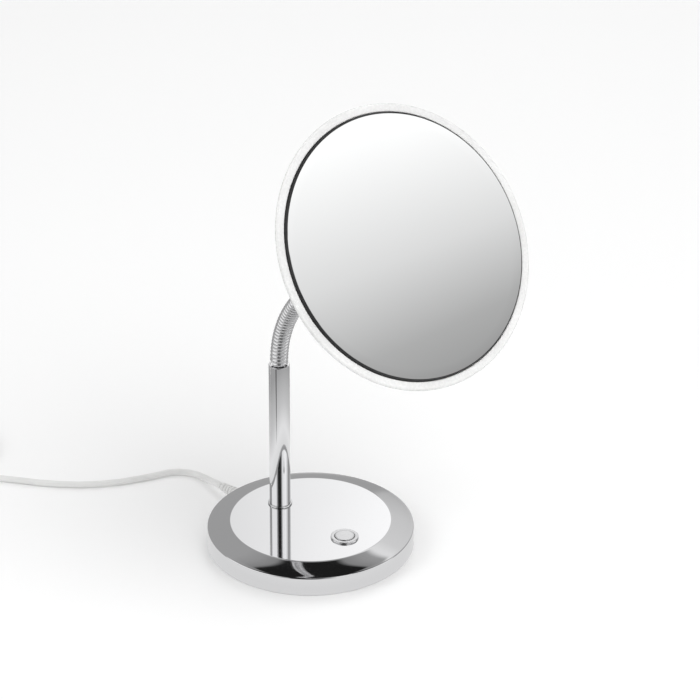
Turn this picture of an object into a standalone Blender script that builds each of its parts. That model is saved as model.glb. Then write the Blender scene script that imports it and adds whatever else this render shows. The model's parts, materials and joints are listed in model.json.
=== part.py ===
"""Lighted make-up mirror: a weighted round base with a push button, a chrome stem, a flexible neck
and a round head with a light ring. Metres, +Z up, front towards -Y, origin on the floor under the
centre of the base."""
import math

import bmesh
import bpy
from mathutils import Matrix, Vector

for old in list(bpy.data.objects):
    bpy.data.objects.remove(old, do_unlink=True)

# ---------------------------------------------------------------- driving dimensions
GAP = 0.0003                    # air between two pieces that touch

BASE_RADIUS = 0.0790
SIDE_HEIGHT = 0.0156            # floor to the edge between side wall and shoulder
DISC_RADIUS = 0.0617            # flat top disc inside the bevelled shoulder
DISC_HEIGHT = 0.0203
COVER_WALL = 0.0014
COVER_LIFT = 0.0006             # the cover's lower edge stays clear of the table
COVER_EDGE = 0.0009             # rolled edge between side wall and shoulder
COVER_FACETS = 48               # flats round the cover and its plate, one of them at the cord's inlet
PAD_THICKNESS = 0.0015
PAD_INSET = 0.0013              # the pad is this much smaller than the plate
PLATE_THICKNESS = 0.0025
WEIGHT_RADIUS = 0.0710
WEIGHT_THICKNESS = 0.0104
STEM_RADIUS = 0.0080
STEM_NUT_WALL = 0.0045          # the stem nut's corners stand this far outside the stem
STEM_WASHER_WIDTH = 0.0050
WEIGHT_BOSS_WALL = 0.0055       # cast boss round the stem
NUT_POCKET_ROOM = 0.0020        # round the stem nut's corners, for a socket wrench
STEM_WALL = 0.0014
STEM_Y = 0.0338                 # behind the centre of the base
STEM_TOP = 0.1424
STEM_BOTTOM = 0.0096
COLLAR_WIDTH = 0.0009
COLLAR_HEIGHT = 0.0009

BUTTON_Y = -0.0374
BUTTON_RADIUS = 0.0075
BUTTON_TRAVEL = 0.0020
BUTTON_CLEARANCE = 0.0004
BEZEL_WIDTH = 0.0031
BEZEL_RADIUS = BUTTON_RADIUS + BEZEL_WIDTH
SWITCH_NUT_WALL = 0.0045        # the switch nut's corners stand this far outside the button
SWITCH_HOLE_ROOM = 0.0010       # round the switch nut's corners
BEZEL_HEIGHT = 0.0014           # stands this much proud of the disc
BARREL_WALL = 0.0008
SWITCH_TOP = 0.0123

CORD_RADIUS = 0.0025
CORD_INLET_Z = 0.0071
RELIEF_LENGTH = 0.0204          # from the cover's wall to the thin end

LEAD_RADIUS = 0.0012            # two-core lamp lead in the stem and the neck
NECK_BORE = 0.0017
NECK_RADIUS = 0.0069
NECK_BALL = 0.0054
NECK_JOINTS = 7
NECK_LEAN_DEG = -6.3            # the plane that the neck bends in, turned from the front
NECK_LOWER_PULL = 0.0575        # how long the neck keeps the stem's direction
NECK_UPPER_PULL = 0.0790        # how long it keeps the head's direction
NECK_FIRST_JOINT = 0.0065       # along the neck, from the stem's top

HEAD_REACH = 0.15285            # stem axis to the glass's centre, along the lean
HEAD_CENTRE_Z = 0.3074
HEAD_TILT_DEG = 35.2            # the glass looks up by this much
HEAD_BACK = 0.0460              # glass's centre plane to the neck's last joint

GLASS_RADIUS = 0.0981
GLASS_THICKNESS = 0.0029
GLASS_EDGE_Z = 0.0007           # front edge of the glass over the head's centre plane
GLASS_CURVE = 0.750             # radius of the concave front
SEAL_WALL = 0.0008
RING_REACH = 0.0077             # the light ring stands out this far round the glass
RING_RADIUS = GLASS_RADIUS + RING_REACH
RING_SEAT_Z = -0.0036           # where the seal sits on the light ring
RING_CROWN_Z = -0.0014
RING_EDGE_Z = -0.0032           # from its outer edge the ring tapers backwards
RING_BACK_Z = -0.0077
RING_UNDERLAP = 0.0055          # and reaches this far under it
RING_INNER_RADIUS = GLASS_RADIUS - RING_UNDERLAP
STRIP_THICKNESS = 0.0010
STRIP_HEIGHT = 0.0036
CARRIER_WALL = 0.0015
GLASS_SAG = GLASS_RADIUS ** 2 / (2 * GLASS_CURVE)
CARRIER_DEPTH = 0.0040          # behind the middle of the glass
CARRIER_FLOOR_Z = GLASS_EDGE_Z - GLASS_SAG - GLASS_THICKNESS - CARRIER_DEPTH
HOUSING_WALL = 0.0018
HOUSING_RIM_INSET = 0.0035      # the ring stands out this far round the housing's rim
HOUSING_RIM_RADIUS = RING_RADIUS - HOUSING_RIM_INSET
HOUSING_SHOULDER_INSET = 0.0046 # the shoulder lies this far inside the rim
HOUSING_SHOULDER_RADIUS = HOUSING_RIM_RADIUS - HOUSING_SHOULDER_INSET
HOUSING_SHOULDER_Z = -0.0142
HOUSING_BACK_Z = -0.0275
HOUSING_FLAT_RADIUS = 0.0180
STUD_RADIUS = 0.0047

PLUG_LENGTH = 0.0345
PLUG_WIDTH = 0.0250
PLUG_THICKNESS = 0.0137
PIN_RADIUS = 0.0020
PIN_LENGTH = 0.0190
PIN_SPACING = 0.0180

COIL_RADIUS = 0.0300            # middle of the coiled cord's turns
COIL_ROOM = 0.0052              # one turn's room: the cord and a little
COIL_COLUMNS = 4                # turns beside each other
COIL_LAYERS = 2                 # turns on each other
COIL_LIFT = 0.0015              # the tie passes under the coil
TIE_WALL = 0.0008
TIE_WIDTH = 0.0060
COIL_CENTRE = (-0.1137, 0.3021)
TIE_ANGLE_DEG = 20
PLUG_SIDE_DEG = 125.6           # where on the coil the cord leaves for the plug
PLUG_NECK_RADIUS = 0.0034

# The cord's way over the table, chosen by hand, from the strain relief to the coil (x, y, z).
CORD_ROUTE = [
    (0.0000, 0.1000, 0.0071), (0.0004, 0.1060, 0.0066), (0.0016, 0.1140, 0.0051),
    (0.0030, 0.1225, 0.0036), (0.0031, 0.1305, 0.0029), (0.0006, 0.1381, 0.0027),
    (-0.0040, 0.1447, 0.0027), (-0.0112, 0.1501, 0.0027), (-0.0214, 0.1535, 0.0027),
    (-0.0340, 0.1588, 0.0027), (-0.0477, 0.1654, 0.0027), (-0.0610, 0.1740, 0.0027),
    (-0.0732, 0.1842, 0.0027), (-0.0839, 0.1956, 0.0027), (-0.0936, 0.2080, 0.0027),
    (-0.1023, 0.2215, 0.0027), (-0.1116, 0.2352, 0.0027), (-0.1200, 0.2460, 0.0030),
    (-0.1269, 0.2557, 0.0037), (-0.1325, 0.2634, 0.0041),
]

# ---------------------------------------------------------------- values worked out from them
LEAN = math.radians(NECK_LEAN_DEG)
TILT = math.radians(HEAD_TILT_DEG)
FORWARD = Vector((math.sin(LEAN), -math.cos(LEAN), 0))      # the way the neck leans
SIDEWAYS = Vector((0, 0, 1)).cross(FORWARD)
UP = Vector((0, 0, 1))
HEAD_AXIS = FORWARD * math.cos(TILT) + UP * math.sin(TILT)  # out of the glass
STEM_FOOT = Vector((0, STEM_Y, 0))
HEAD_CENTRE = STEM_FOOT + FORWARD * HEAD_REACH + UP * HEAD_CENTRE_Z
DISC_UNDERSIDE = DISC_HEIGHT - COVER_WALL
COVER_INNER_RADIUS = BASE_RADIUS - COVER_WALL
PLATE_BOTTOM = PAD_THICKNESS + GAP
PLATE_TOP = PLATE_BOTTOM + PLATE_THICKNESS
PLATE_RADIUS = COVER_INNER_RADIUS - GAP
WEIGHT_BOTTOM = PLATE_TOP + GAP
WEIGHT_TOP = WEIGHT_BOTTOM + WEIGHT_THICKNESS
STEM_BORE = STEM_RADIUS - STEM_WALL
SEAL_INNER_RADIUS = GLASS_RADIUS + GAP
SEAL_OUTER_RADIUS = SEAL_INNER_RADIUS + SEAL_WALL
CARRIER_RADIUS = RING_INNER_RADIUS - 2 * GAP - STRIP_THICKNESS


# ---------------------------------------------------------------- materials
def material(name, colour, roughness, metallic=0.0):
    made = bpy.data.materials.get(name)
    if made is None:
        made = bpy.data.materials.new(name)
        made.use_nodes = True
        shader = made.node_tree.nodes["Principled BSDF"]
        shader.inputs["Base Color"].default_value = (*colour, 1)
        shader.inputs["Roughness"].default_value = roughness
        shader.inputs["Metallic"].default_value = metallic
    return made


def chrome():
    return material("chrome", (0.80, 0.80, 0.81), 0.06, 1.0)


def zinc_steel():
    return material("zinc_steel", (0.62, 0.62, 0.60), 0.35, 1.0)


def cast_iron():
    return material("cast_iron", (0.10, 0.10, 0.11), 0.70, 0.6)


def black_rubber():
    return material("black_rubber", (0.02, 0.02, 0.02), 0.75)


def white_plastic():
    return material("white_plastic", (0.86, 0.86, 0.85), 0.35)


def opal_acrylic():
    return material("opal_acrylic", (0.93, 0.93, 0.92), 0.22)


def grey_plastic():
    return material("grey_plastic", (0.30, 0.31, 0.32), 0.45)


def circuit_board():
    return material("circuit_board", (0.03, 0.22, 0.10), 0.50)


def brass():
    return material("brass", (0.72, 0.55, 0.25), 0.30, 1.0)


def silvered_glass():
    return material("silvered_glass", (0.90, 0.90, 0.91), 0.01, 1.0)


# ---------------------------------------------------------------- modelling helpers
TOOL_PHASE = 0.37               # turns a cutting tool's corners away from the corners of what it cuts


def add_object(name, mesh_data, surface, place=Matrix(), parent=None, sharp_deg=35):
    """Make a node from a bmesh, in its own coordinates, put in its place under a parent."""
    bmesh.ops.recalc_face_normals(mesh_data, faces=mesh_data.faces)
    mesh = bpy.data.meshes.new(name)
    mesh_data.to_mesh(mesh)
    mesh_data.free()
    mesh.shade_smooth()
    mesh.set_sharp_from_angle(angle=math.radians(sharp_deg))
    mesh.materials.append(surface)
    made = bpy.data.objects.new(name, mesh)
    bpy.context.scene.collection.objects.link(made)
    made.parent = parent
    made.matrix_local = place
    return made


def add_empty(name, place, parent=None):
    made = bpy.data.objects.new(name, None)
    bpy.context.scene.collection.objects.link(made)
    made.parent = parent
    made.matrix_local = place
    return made


def revolved(profile, segments, phase=0.0):
    """Turn (radius, height) points about Z. Ends on the axis close there, else the outline closes."""
    shape = bmesh.new()
    rings = []
    turn = [2 * math.pi * (k + phase) / segments for k in range(segments)]
    for radius, height in profile:
        if radius < 1e-7:
            rings.append([shape.verts.new((0, 0, height))])
            continue
        rings.append([shape.verts.new((radius * math.cos(a), radius * math.sin(a), height)) for a in turn])
    pairs = list(zip(rings, rings[1:]))
    if len(rings[0]) > 1 and len(rings[-1]) > 1:
        pairs.append((rings[-1], rings[0]))
    for lower, upper in pairs:
        bridge(shape, lower, upper)
    return shape


def bridge(shape, lower, upper):
    """Join two rings of points, or a ring and a pole, with faces."""
    count = max(len(lower), len(upper))
    for k in range(count):
        following = (k + 1) % count
        corners = [lower[k % len(lower)], lower[following % len(lower)],
                   upper[following % len(upper)], upper[k % len(upper)]]
        distinct = []
        for corner in corners:
            if corner not in distinct:
                distinct.append(corner)
        shape.faces.new(distinct)


def lathe(name, profile, surface, segments=48, place=Matrix(), parent=None, phase=0.0):
    return add_object(name, revolved(profile, segments, phase), surface, place, parent)


def disc_profile(radius, low, high, bore=0.0):
    return [(bore, low), (radius, low), (radius, high), (bore, high)]


def block(name, low, high, surface, place=Matrix(), parent=None):
    shape = bmesh.new()
    bmesh.ops.create_cube(shape, size=1)
    middle = [(a + b) / 2 for a, b in zip(low, high)]
    size = [b - a for a, b in zip(low, high)]
    for vert in shape.verts:
        vert.co = Vector([m + s * c for m, s, c in zip(middle, size, vert.co)])
    return add_object(name, shape, surface, place, parent)


def shape_with(target, tool, operation="DIFFERENCE"):
    """Cut the tool out of the target, or join it on, and keep the tool as a hidden guide."""
    tool.hide_render = True
    tool.display_type = "WIRE"
    change = target.modifiers.new(tool.name, "BOOLEAN")
    change.operation = operation
    change.object = tool
    change.solver = "EXACT"


def cut_round(target, name, radius, low, high, centre=(0, 0), segments=32, parent=None):
    """Bore a round hole along Z through the target."""
    place = Matrix.Translation((*centre, 0))
    tool = lathe(name, [(0, low), (radius, low), (radius, high), (0, high)], cast_iron(), segments,
                 place, parent, TOOL_PHASE)
    shape_with(target, tool)


def cut_block(target, name, low, high):
    shape_with(target, block(name, low, high, cast_iron()))


def add_round(target, name, radius, low, high, centre=(0, 0), segments=24, parent=None):
    """Join a round post or boss on the target."""
    place = Matrix.Translation((*centre, 0))
    tool = lathe(name, [(0, low), (radius, low), (radius, high), (0, high)], cast_iron(), segments,
                 place, parent, TOOL_PHASE)
    shape_with(target, tool, "UNION")


def pan_screw(name, head_radius, head_height, shank_radius, shank_length, seat, parent=None):
    """Pan-head screw pointing down, its head's underside at the seat."""
    profile = [(0, -shank_length), (shank_radius * 0.6, -shank_length),
               (shank_radius, -shank_length + shank_radius * 0.6), (shank_radius, 0), (head_radius, 0),
               (head_radius, head_height * 0.55), (head_radius * 0.72, head_height), (0, head_height)]
    return lathe(name, profile, zinc_steel(), 10, Matrix.Translation(seat), parent)


def round_run(name, points, radius, surface, resolution=2, parent=None):
    """A lead or cord: a tube along points read from a smooth curve."""
    data = bpy.data.curves.new(name, "CURVE")
    data.dimensions = "3D"
    data.bevel_depth = radius
    data.bevel_resolution = resolution
    data.use_fill_caps = True
    line = data.splines.new("POLY")
    line.points.add(len(points) - 1)
    for target, point in zip(line.points, points):
        target.co = (*point, 1)
    data.materials.append(surface)
    made = bpy.data.objects.new(name, data)
    bpy.context.scene.collection.objects.link(made)
    made.parent = parent
    return made


def smooth_points(route, spacing):
    """Read evenly spaced points from a Catmull-Rom curve through the route's own points."""
    knots = [Vector(point) for point in route]
    knots = [2 * knots[0] - knots[1]] + knots + [2 * knots[-1] - knots[-2]]
    fine = []
    steps = 16
    for before, start, end, after in zip(knots, knots[1:], knots[2:], knots[3:]):
        for k in range(steps):
            u = k / steps
            fine.append(0.5 * (2 * start + (end - before) * u
                               + (2 * before - 5 * start + 4 * end - after) * u * u
                               + (3 * start - before - 3 * end + after) * u ** 3))
    fine.append(knots[-2])
    length = sum((b - a).length for a, b in zip(fine, fine[1:]))
    count = max(2, round(length / spacing))
    picked = [fine[0]]
    walked = 0.0
    for a, b in zip(fine, fine[1:]):
        walked += (b - a).length
        if walked >= length * len(picked) / count and len(picked) < count:
            picked.append(b)
    return picked + [fine[-1]]


# ---------------------------------------------------------------- base cover
def make_base_cover():
    side_inner = SIDE_HEIGHT - COVER_WALL
    profile = [
        (0, DISC_HEIGHT), (DISC_RADIUS, DISC_HEIGHT),
        (BASE_RADIUS - COVER_EDGE, SIDE_HEIGHT),
        (BASE_RADIUS - COVER_EDGE * 0.25, SIDE_HEIGHT - COVER_EDGE * 0.4),
        (BASE_RADIUS, SIDE_HEIGHT - COVER_EDGE), (BASE_RADIUS, COVER_LIFT),
        (COVER_INNER_RADIUS, COVER_LIFT), (COVER_INNER_RADIUS, side_inner),
        (DISC_RADIUS - COVER_EDGE, DISC_UNDERSIDE), (0, DISC_UNDERSIDE),
    ]
    cover = lathe("base_cover", profile, chrome(), COVER_FACETS, phase=0.5)
    cut_round(cover, "cover_stem_hole", STEM_RADIUS + GAP, 0.010, 0.030, (0, STEM_Y))
    cut_round(cover, "cover_button_hole", BUTTON_RADIUS + BUTTON_CLEARANCE + BARREL_WALL + GAP, 0.010, 0.030,
              (0, BUTTON_Y))
    rearwards = Matrix.Translation((0, 0, CORD_INLET_Z)) @ Matrix.Rotation(-math.pi / 2, 4, "X")
    inlet = lathe("cover_cord_hole", [(0, 0.060), (0.0042, 0.060), (0.0042, 0.090), (0, 0.090)], chrome(), 24,
                  rearwards, phase=TOOL_PHASE)
    shape_with(cover, inlet)


# ---------------------------------------------------------------- weight, plate, pad and screws
BASE_SCREW_PLACES = [(0.060 * math.cos(math.radians(a)), 0.060 * math.sin(math.radians(a)))
                     for a in (30, 150, 270)]
BOARD_POST_PLACES = [(-0.0480, 0.0120), (-0.0240, -0.0200)]
CLAMP_Y = 0.0665
CLAMP_POST_PLACES = [(-0.0080, CLAMP_Y), (0.0080, CLAMP_Y)]
BOARD_BOTTOM = 0.0073
BOARD_TOP = BOARD_BOTTOM + 0.0016
CLAMP_BOTTOM = 0.0074
CLAMP_TOP = 0.0112
BASE_SCREW_RADIUS = 0.0016
BASE_SCREW_HEAD = 0.0034
POST_RADIUS = 0.0030
SMALL_SCREW_RADIUS = 0.0012
NUT_CEILING = 0.0145            # roof of the stem nut's pocket in the weight


def make_weight():
    weight = lathe("base_weight", [
        (0, WEIGHT_BOTTOM), (WEIGHT_RADIUS, WEIGHT_BOTTOM), (WEIGHT_RADIUS, WEIGHT_TOP - 0.0015),
        (WEIGHT_RADIUS - 0.0015, WEIGHT_TOP), (0, WEIGHT_TOP)], cast_iron(), 40)
    boss_radius = STEM_RADIUS + WEIGHT_BOSS_WALL
    add_round(weight, "weight_boss", boss_radius, WEIGHT_BOTTOM + 0.001, DISC_UNDERSIDE - GAP, (0, STEM_Y))
    nut_room = STEM_RADIUS + STEM_NUT_WALL + NUT_POCKET_ROOM
    cut_round(weight, "weight_nut_pocket", nut_room, 0, NUT_CEILING, (0, STEM_Y), 24)
    cut_round(weight, "weight_stem_hole", STEM_RADIUS + GAP, 0, 0.030, (0, STEM_Y), 24)
    switch_room = BUTTON_RADIUS + SWITCH_NUT_WALL + SWITCH_HOLE_ROOM
    cut_round(weight, "weight_switch_hole", switch_room, 0, 0.030, (0, BUTTON_Y), 24)
    cut_block(weight, "weight_driver_pocket", (-0.0540, -0.0270, 0), (-0.0180, 0.0190, 0.030))
    cut_block(weight, "weight_cord_channel", (-0.0290, 0.0468, 0), (0.0150, 0.0760, 0.030))
    cut_block(weight, "weight_cord_slot", (-0.0290, 0.0150, 0), (-0.0175, 0.0560, 0.030))
    cut_block(weight, "weight_lead_groove", (-0.0200, 0.0110, 0), (-0.0020, 0.0170, 0.0110))
    cut_block(weight, "weight_lead_turn", (-0.0080, 0.0140, 0), (-0.0020, 0.0260, 0.0110))
    cut_block(weight, "weight_switch_groove", (-0.0200, -0.0260, 0), (-0.0080, -0.0200, 0.0110))
    for k, centre in enumerate(BASE_SCREW_PLACES):
        cut_round(weight, "weight_thread_%d" % (k + 1), BASE_SCREW_RADIUS + GAP, 0, 0.0125, centre, 16)


def make_plate():
    plate = lathe("base_plate", [(0, PLATE_BOTTOM), (PLATE_RADIUS, PLATE_BOTTOM), (PLATE_RADIUS, PLATE_TOP),
                                 (0, PLATE_TOP)], zinc_steel(), COVER_FACETS, phase=0.5)
    cut_block(plate, "plate_relief_notch", (-0.0062, 0.0745, 0), (0.0062, 0.0800, 0.010))
    for k, centre in enumerate(BOARD_POST_PLACES):
        add_round(plate, "board_post_%d" % (k + 1), POST_RADIUS, PLATE_TOP - 0.001, BOARD_BOTTOM - GAP,
                  centre, 16)
        cut_round(plate, "board_post_bore_%d" % (k + 1), SMALL_SCREW_RADIUS + GAP, PLATE_TOP - 0.0005, 0.012,
                  centre, 12)
    for k, centre in enumerate(CLAMP_POST_PLACES):
        add_round(plate, "clamp_post_%d" % (k + 1), POST_RADIUS, PLATE_TOP - 0.001, CLAMP_BOTTOM - GAP,
                  centre, 16)
        cut_round(plate, "clamp_post_bore_%d" % (k + 1), SMALL_SCREW_RADIUS + GAP, PLATE_TOP - 0.0005, 0.012,
                  centre, 12)
    for k, centre in enumerate(BASE_SCREW_PLACES):
        head = BASE_SCREW_HEAD + GAP
        shank = BASE_SCREW_RADIUS + GAP
        sink = lathe("plate_sink_%d" % (k + 1), [
            (0, 0), (head, 0), (head, PLATE_BOTTOM), (shank, PLATE_BOTTOM + head - shank), (shank, 0.008),
            (0, 0.008)], zinc_steel(), 16, Matrix.Translation((*centre, 0)))
        shape_with(plate, sink)


def make_pad_and_screws():
    lathe("foot_pad", [(0, 0), (PLATE_RADIUS - PAD_INSET, 0), (PLATE_RADIUS - PAD_INSET, PAD_THICKNESS),
                       (0, PAD_THICKNESS)], black_rubber(), 48)
    for k, centre in enumerate(BASE_SCREW_PLACES):
        sunk = BASE_SCREW_HEAD - BASE_SCREW_RADIUS
        lathe("base_screw_%d" % (k + 1), [
            (0, 0), (BASE_SCREW_HEAD, 0), (BASE_SCREW_RADIUS, sunk), (BASE_SCREW_RADIUS, 0.0092),
            (BASE_SCREW_RADIUS * 0.6, 0.0100), (0, 0.0100)], zinc_steel(), 16,
            Matrix.Translation((*centre, PLATE_BOTTOM)))


# ---------------------------------------------------------------- stem
def make_stem():
    foot = Matrix.Translation(STEM_FOOT)
    lathe("stem_tube", [(STEM_RADIUS, STEM_BOTTOM), (STEM_RADIUS, STEM_TOP - 0.0006),
                        (STEM_RADIUS - 0.0006, STEM_TOP), (STEM_BORE, STEM_TOP), (STEM_BORE, STEM_BOTTOM)],
          chrome(), 28, foot)
    collar_low = DISC_HEIGHT + GAP
    inner = STEM_RADIUS + GAP
    lathe("stem_collar", [(inner, collar_low), (inner + COLLAR_WIDTH, collar_low),
                          (inner + COLLAR_WIDTH, collar_low + COLLAR_HEIGHT * 0.6),
                          (inner + COLLAR_WIDTH * 0.6, collar_low + COLLAR_HEIGHT),
                          (inner, collar_low + COLLAR_HEIGHT)], chrome(), 28, foot)
    lathe("stem_washer",
          disc_profile(STEM_RADIUS + STEM_WASHER_WIDTH, NUT_CEILING - GAP - 0.0012, NUT_CEILING - GAP, inner),
          zinc_steel(), 24, foot)
    nut_top = NUT_CEILING - 2 * GAP - 0.0012
    hex_nut("stem_nut", STEM_RADIUS + STEM_NUT_WALL, inner, STEM_BOTTOM + 0.0004, nut_top, foot)


def hex_nut(name, corner_radius, bore, low, high, place, parent=None):
    nut = lathe(name, [(0, low), (corner_radius, low), (corner_radius, high), (0, high)], brass(), 6,
                place, parent)
    hole = lathe(name + "_bore",
                 [(0, low - 0.005), (bore, low - 0.005), (bore, high + 0.005), (0, high + 0.005)],
                 brass(), 16, place, parent, TOOL_PHASE)
    shape_with(nut, hole)


# ---------------------------------------------------------------- push button and switch
def make_button():
    place = Matrix.Translation((0, BUTTON_Y, 0))
    inner = BUTTON_RADIUS + BUTTON_CLEARANCE
    barrel = inner + BARREL_WALL
    seat = DISC_HEIGHT + GAP
    top = DISC_HEIGHT + BEZEL_HEIGHT
    barrel_end = SWITCH_TOP + GAP
    lathe("button_bezel", [
        (inner, barrel_end), (barrel, barrel_end), (barrel, seat), (BEZEL_RADIUS, seat),
        (BEZEL_RADIUS, seat + 0.0004), (BEZEL_RADIUS - 0.0005, top - 0.0001), (BEZEL_RADIUS - 0.0010, top),
        (inner + 0.0005, top), (inner, top - 0.0004)], chrome(), 28, place)
    hex_nut("switch_nut", BUTTON_RADIUS + SWITCH_NUT_WALL, barrel + GAP,
            DISC_UNDERSIDE - GAP - 0.0022, DISC_UNDERSIDE - GAP, place)
    cap_place = add_empty("button_slide", place)
    roof = DISC_HEIGHT + 0.0006
    lathe("button_cap", [
        (0, roof), (BUTTON_RADIUS - 0.0012, roof), (BUTTON_RADIUS - 0.0012, SWITCH_TOP + 0.0033),
        (BUTTON_RADIUS, SWITCH_TOP + 0.0033),
        (BUTTON_RADIUS, top - 0.0002), (BUTTON_RADIUS - 0.0004, top + 0.0002),
        (BUTTON_RADIUS * 0.5, top + 0.0005), (0, top + 0.0006)], chrome(), 28, parent=cap_place)
    lathe("switch_body", [
        (0, WEIGHT_BOTTOM), (barrel, WEIGHT_BOTTOM), (barrel, SWITCH_TOP), (0.0020, SWITCH_TOP),
        (0.0020, SWITCH_TOP + 0.0030), (0, SWITCH_TOP + 0.0030)], grey_plastic(), 20, place)
    wire = 0.0004
    turns = 4
    per_turn = 8
    low = SWITCH_TOP + GAP + wire
    high = roof - GAP - wire
    helix = []
    for k in range(turns * per_turn + 1):
        angle = 2 * math.pi * k / per_turn
        height = low + (high - low) * k / (turns * per_turn)
        helix.append((0.0045 * math.cos(angle), BUTTON_Y + 0.0045 * math.sin(angle), height))
    round_run("button_spring", helix, wire, zinc_steel(), 1)


# ---------------------------------------------------------------- driver, cord clamp, strain relief
def make_driver():
    board = block("driver_board", (-0.0520, -0.0250, BOARD_BOTTOM), (-0.0200, 0.0165, BOARD_TOP),
                  circuit_board())
    for k, centre in enumerate(BOARD_POST_PLACES):
        cut_round(board, "board_hole_%d" % (k + 1), SMALL_SCREW_RADIUS + GAP, 0, 0.020, centre, 12)
        pan_screw("board_screw_%d" % (k + 1), 0.0024, 0.0012, SMALL_SCREW_RADIUS, 0.0032,
                  (*centre, BOARD_TOP + GAP))
    low = BOARD_TOP + GAP
    lathe("driver_inductor", [
        (0, low), (0.0058, low), (0.0058, low + 0.0010), (0.0042, low + 0.0014), (0.0042, low + 0.0036),
        (0.0058, low + 0.0040), (0.0058, low + 0.0050), (0, low + 0.0050)], cast_iron(), 16,
        Matrix.Translation((-0.0430, -0.0120, 0)))
    lathe("driver_capacitor", [
        (0, low), (0.0032, low), (0.0032, low + 0.0052), (0.0027, low + 0.0058), (0, low + 0.0058)],
        grey_plastic(), 16, Matrix.Translation((-0.0340, 0.0040, 0)))


def make_cord_entry():
    clamp = block("cord_clamp",
                  (-0.0112, CLAMP_Y - 0.0028, CLAMP_BOTTOM), (0.0112, CLAMP_Y + 0.0028, CLAMP_TOP),
                  white_plastic())
    along_y = Matrix.Translation((0, 0, CORD_INLET_Z)) @ Matrix.Rotation(-math.pi / 2, 4, "X")
    groove = lathe("clamp_groove", [(0, 0.055), (CORD_RADIUS + GAP, 0.055), (CORD_RADIUS + GAP, 0.078),
                                    (0, 0.078)], white_plastic(), 16, along_y, phase=TOOL_PHASE)
    shape_with(clamp, groove)
    for k, centre in enumerate(CLAMP_POST_PLACES):
        cut_round(clamp, "clamp_hole_%d" % (k + 1), SMALL_SCREW_RADIUS + GAP, 0, 0.020, centre, 12)
        pan_screw("clamp_screw_%d" % (k + 1), 0.0024, 0.0012, SMALL_SCREW_RADIUS, 0.0060,
                  (*centre, CLAMP_TOP + GAP))
    flat = math.cos(math.pi / COVER_FACETS)
    wall_out = BASE_RADIUS * flat + GAP
    wall_in = COVER_INNER_RADIUS * flat - GAP
    tip = BASE_RADIUS + RELIEF_LENGTH
    bore = CORD_RADIUS + GAP
    lathe("strain_relief", [
        (bore, wall_in - 0.0020), (0.0054, wall_in - 0.0020), (0.0054, wall_in), (0.0039, wall_in),
        (0.0039, wall_out), (0.0054, wall_out), (0.0054, wall_out + 0.0012), (0.0046, wall_out + 0.0026),
        (0.0036, tip - 0.0040), (0.0033, tip), (bore, tip)], white_plastic(), 20, along_y)
    z = CORD_INLET_Z
    tail = [(-0.0250, 0.0195, 0.0117), (-0.0250, 0.0280, 0.0095), (-0.0245, 0.0370, 0.0076),
            (-0.0222, 0.0450, z),
            (-0.0170, 0.0505, z), (-0.0100, 0.0530, z), (-0.0045, 0.0560, z), (-0.0010, 0.0600, z),
            (0.0000, 0.0640, z), (0.0000, 0.0700, z), (0.0000, 0.0800, z), (0.0000, 0.0900, z),
            (0.0000, tip - GAP, z)]
    round_run("cord_tail", smooth_points(tail, 0.0050), CORD_RADIUS, white_plastic())


# ---------------------------------------------------------------- neck
def neck_curve(steps=400):
    """Points (forward, up) of the neck's centreline from the stem's top to its last joint."""
    start = Vector((0, STEM_TOP))
    axis = Vector((math.cos(TILT), math.sin(TILT)))
    end = Vector((HEAD_REACH, HEAD_CENTRE_Z)) - HEAD_BACK * axis
    pull_up = start + Vector((0, NECK_LOWER_PULL))
    pull_back = end - NECK_UPPER_PULL * axis
    points = []
    for k in range(steps + 1):
        u = k / steps
        v = 1 - u
        points.append(start * v ** 3 + pull_up * 3 * u * v * v + pull_back * 3 * u * u * v + end * u ** 3)
    return points


NECK_POINTS = neck_curve()
NECK_WALK = [0.0]
for first, second in zip(NECK_POINTS, NECK_POINTS[1:]):
    NECK_WALK.append(NECK_WALK[-1] + (second - first).length)
NECK_LENGTH = NECK_WALK[-1]
LINK_LENGTH = (NECK_LENGTH - NECK_FIRST_JOINT) / (NECK_JOINTS - 1)
JOINT_WALK = [NECK_FIRST_JOINT + k * LINK_LENGTH for k in range(NECK_JOINTS)]


def neck_frame(walk):
    """Frame on the neck's centreline: X sideways, Z along the neck."""
    walk = min(max(walk, 0.0), NECK_LENGTH)
    k = 1
    while NECK_WALK[k] < walk and k < len(NECK_WALK) - 1:
        k += 1
    share = (walk - NECK_WALK[k - 1]) / (NECK_WALK[k] - NECK_WALK[k - 1])
    at = NECK_POINTS[k - 1].lerp(NECK_POINTS[k], share)
    low = NECK_POINTS[max(k - 2, 0)]
    high = NECK_POINTS[min(k + 1, len(NECK_POINTS) - 1)]
    along = FORWARD * (high - low).x + UP * (high - low).y
    along.normalize()
    if walk <= 0.0:
        along = UP.copy()
    across = along.cross(SIDEWAYS)
    where = STEM_FOOT + FORWARD * at.x + UP * at.y
    frame = Matrix((SIDEWAYS, across, along)).transposed().to_4x4()
    return Matrix.Translation(where) @ frame


def ball_rings(walk, start, end, steps, radius):
    """Rings of a ball about a joint, from one distance along the neck to another."""
    frame = neck_frame(walk)
    rings = []
    for k in range(steps + 1):
        along = start + (end - start) * k / steps
        rings.append((frame @ Matrix.Translation((0, 0, along)), math.sqrt(radius ** 2 - along ** 2)))
    return rings


def ring_solid(name, rings, surface, origin, parent, sides=14):
    """A tube-like body through a closed loop of rings, its object's origin on its joint."""
    shape = bmesh.new()
    home = origin.inverted()
    loops = []
    for frame, radius in rings:
        turn = [2 * math.pi * k / sides for k in range(sides)]
        loops.append([shape.verts.new(home @ frame @ Vector((radius * math.cos(a), radius * math.sin(a), 0)))
                      for a in turn])
    for lower, upper in zip(loops, loops[1:] + loops[:1]):
        bridge(shape, lower, upper)
    place = origin if parent is None else parent.matrix_world.inverted() @ origin
    return add_object(name, shape, surface, place, parent)


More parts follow.
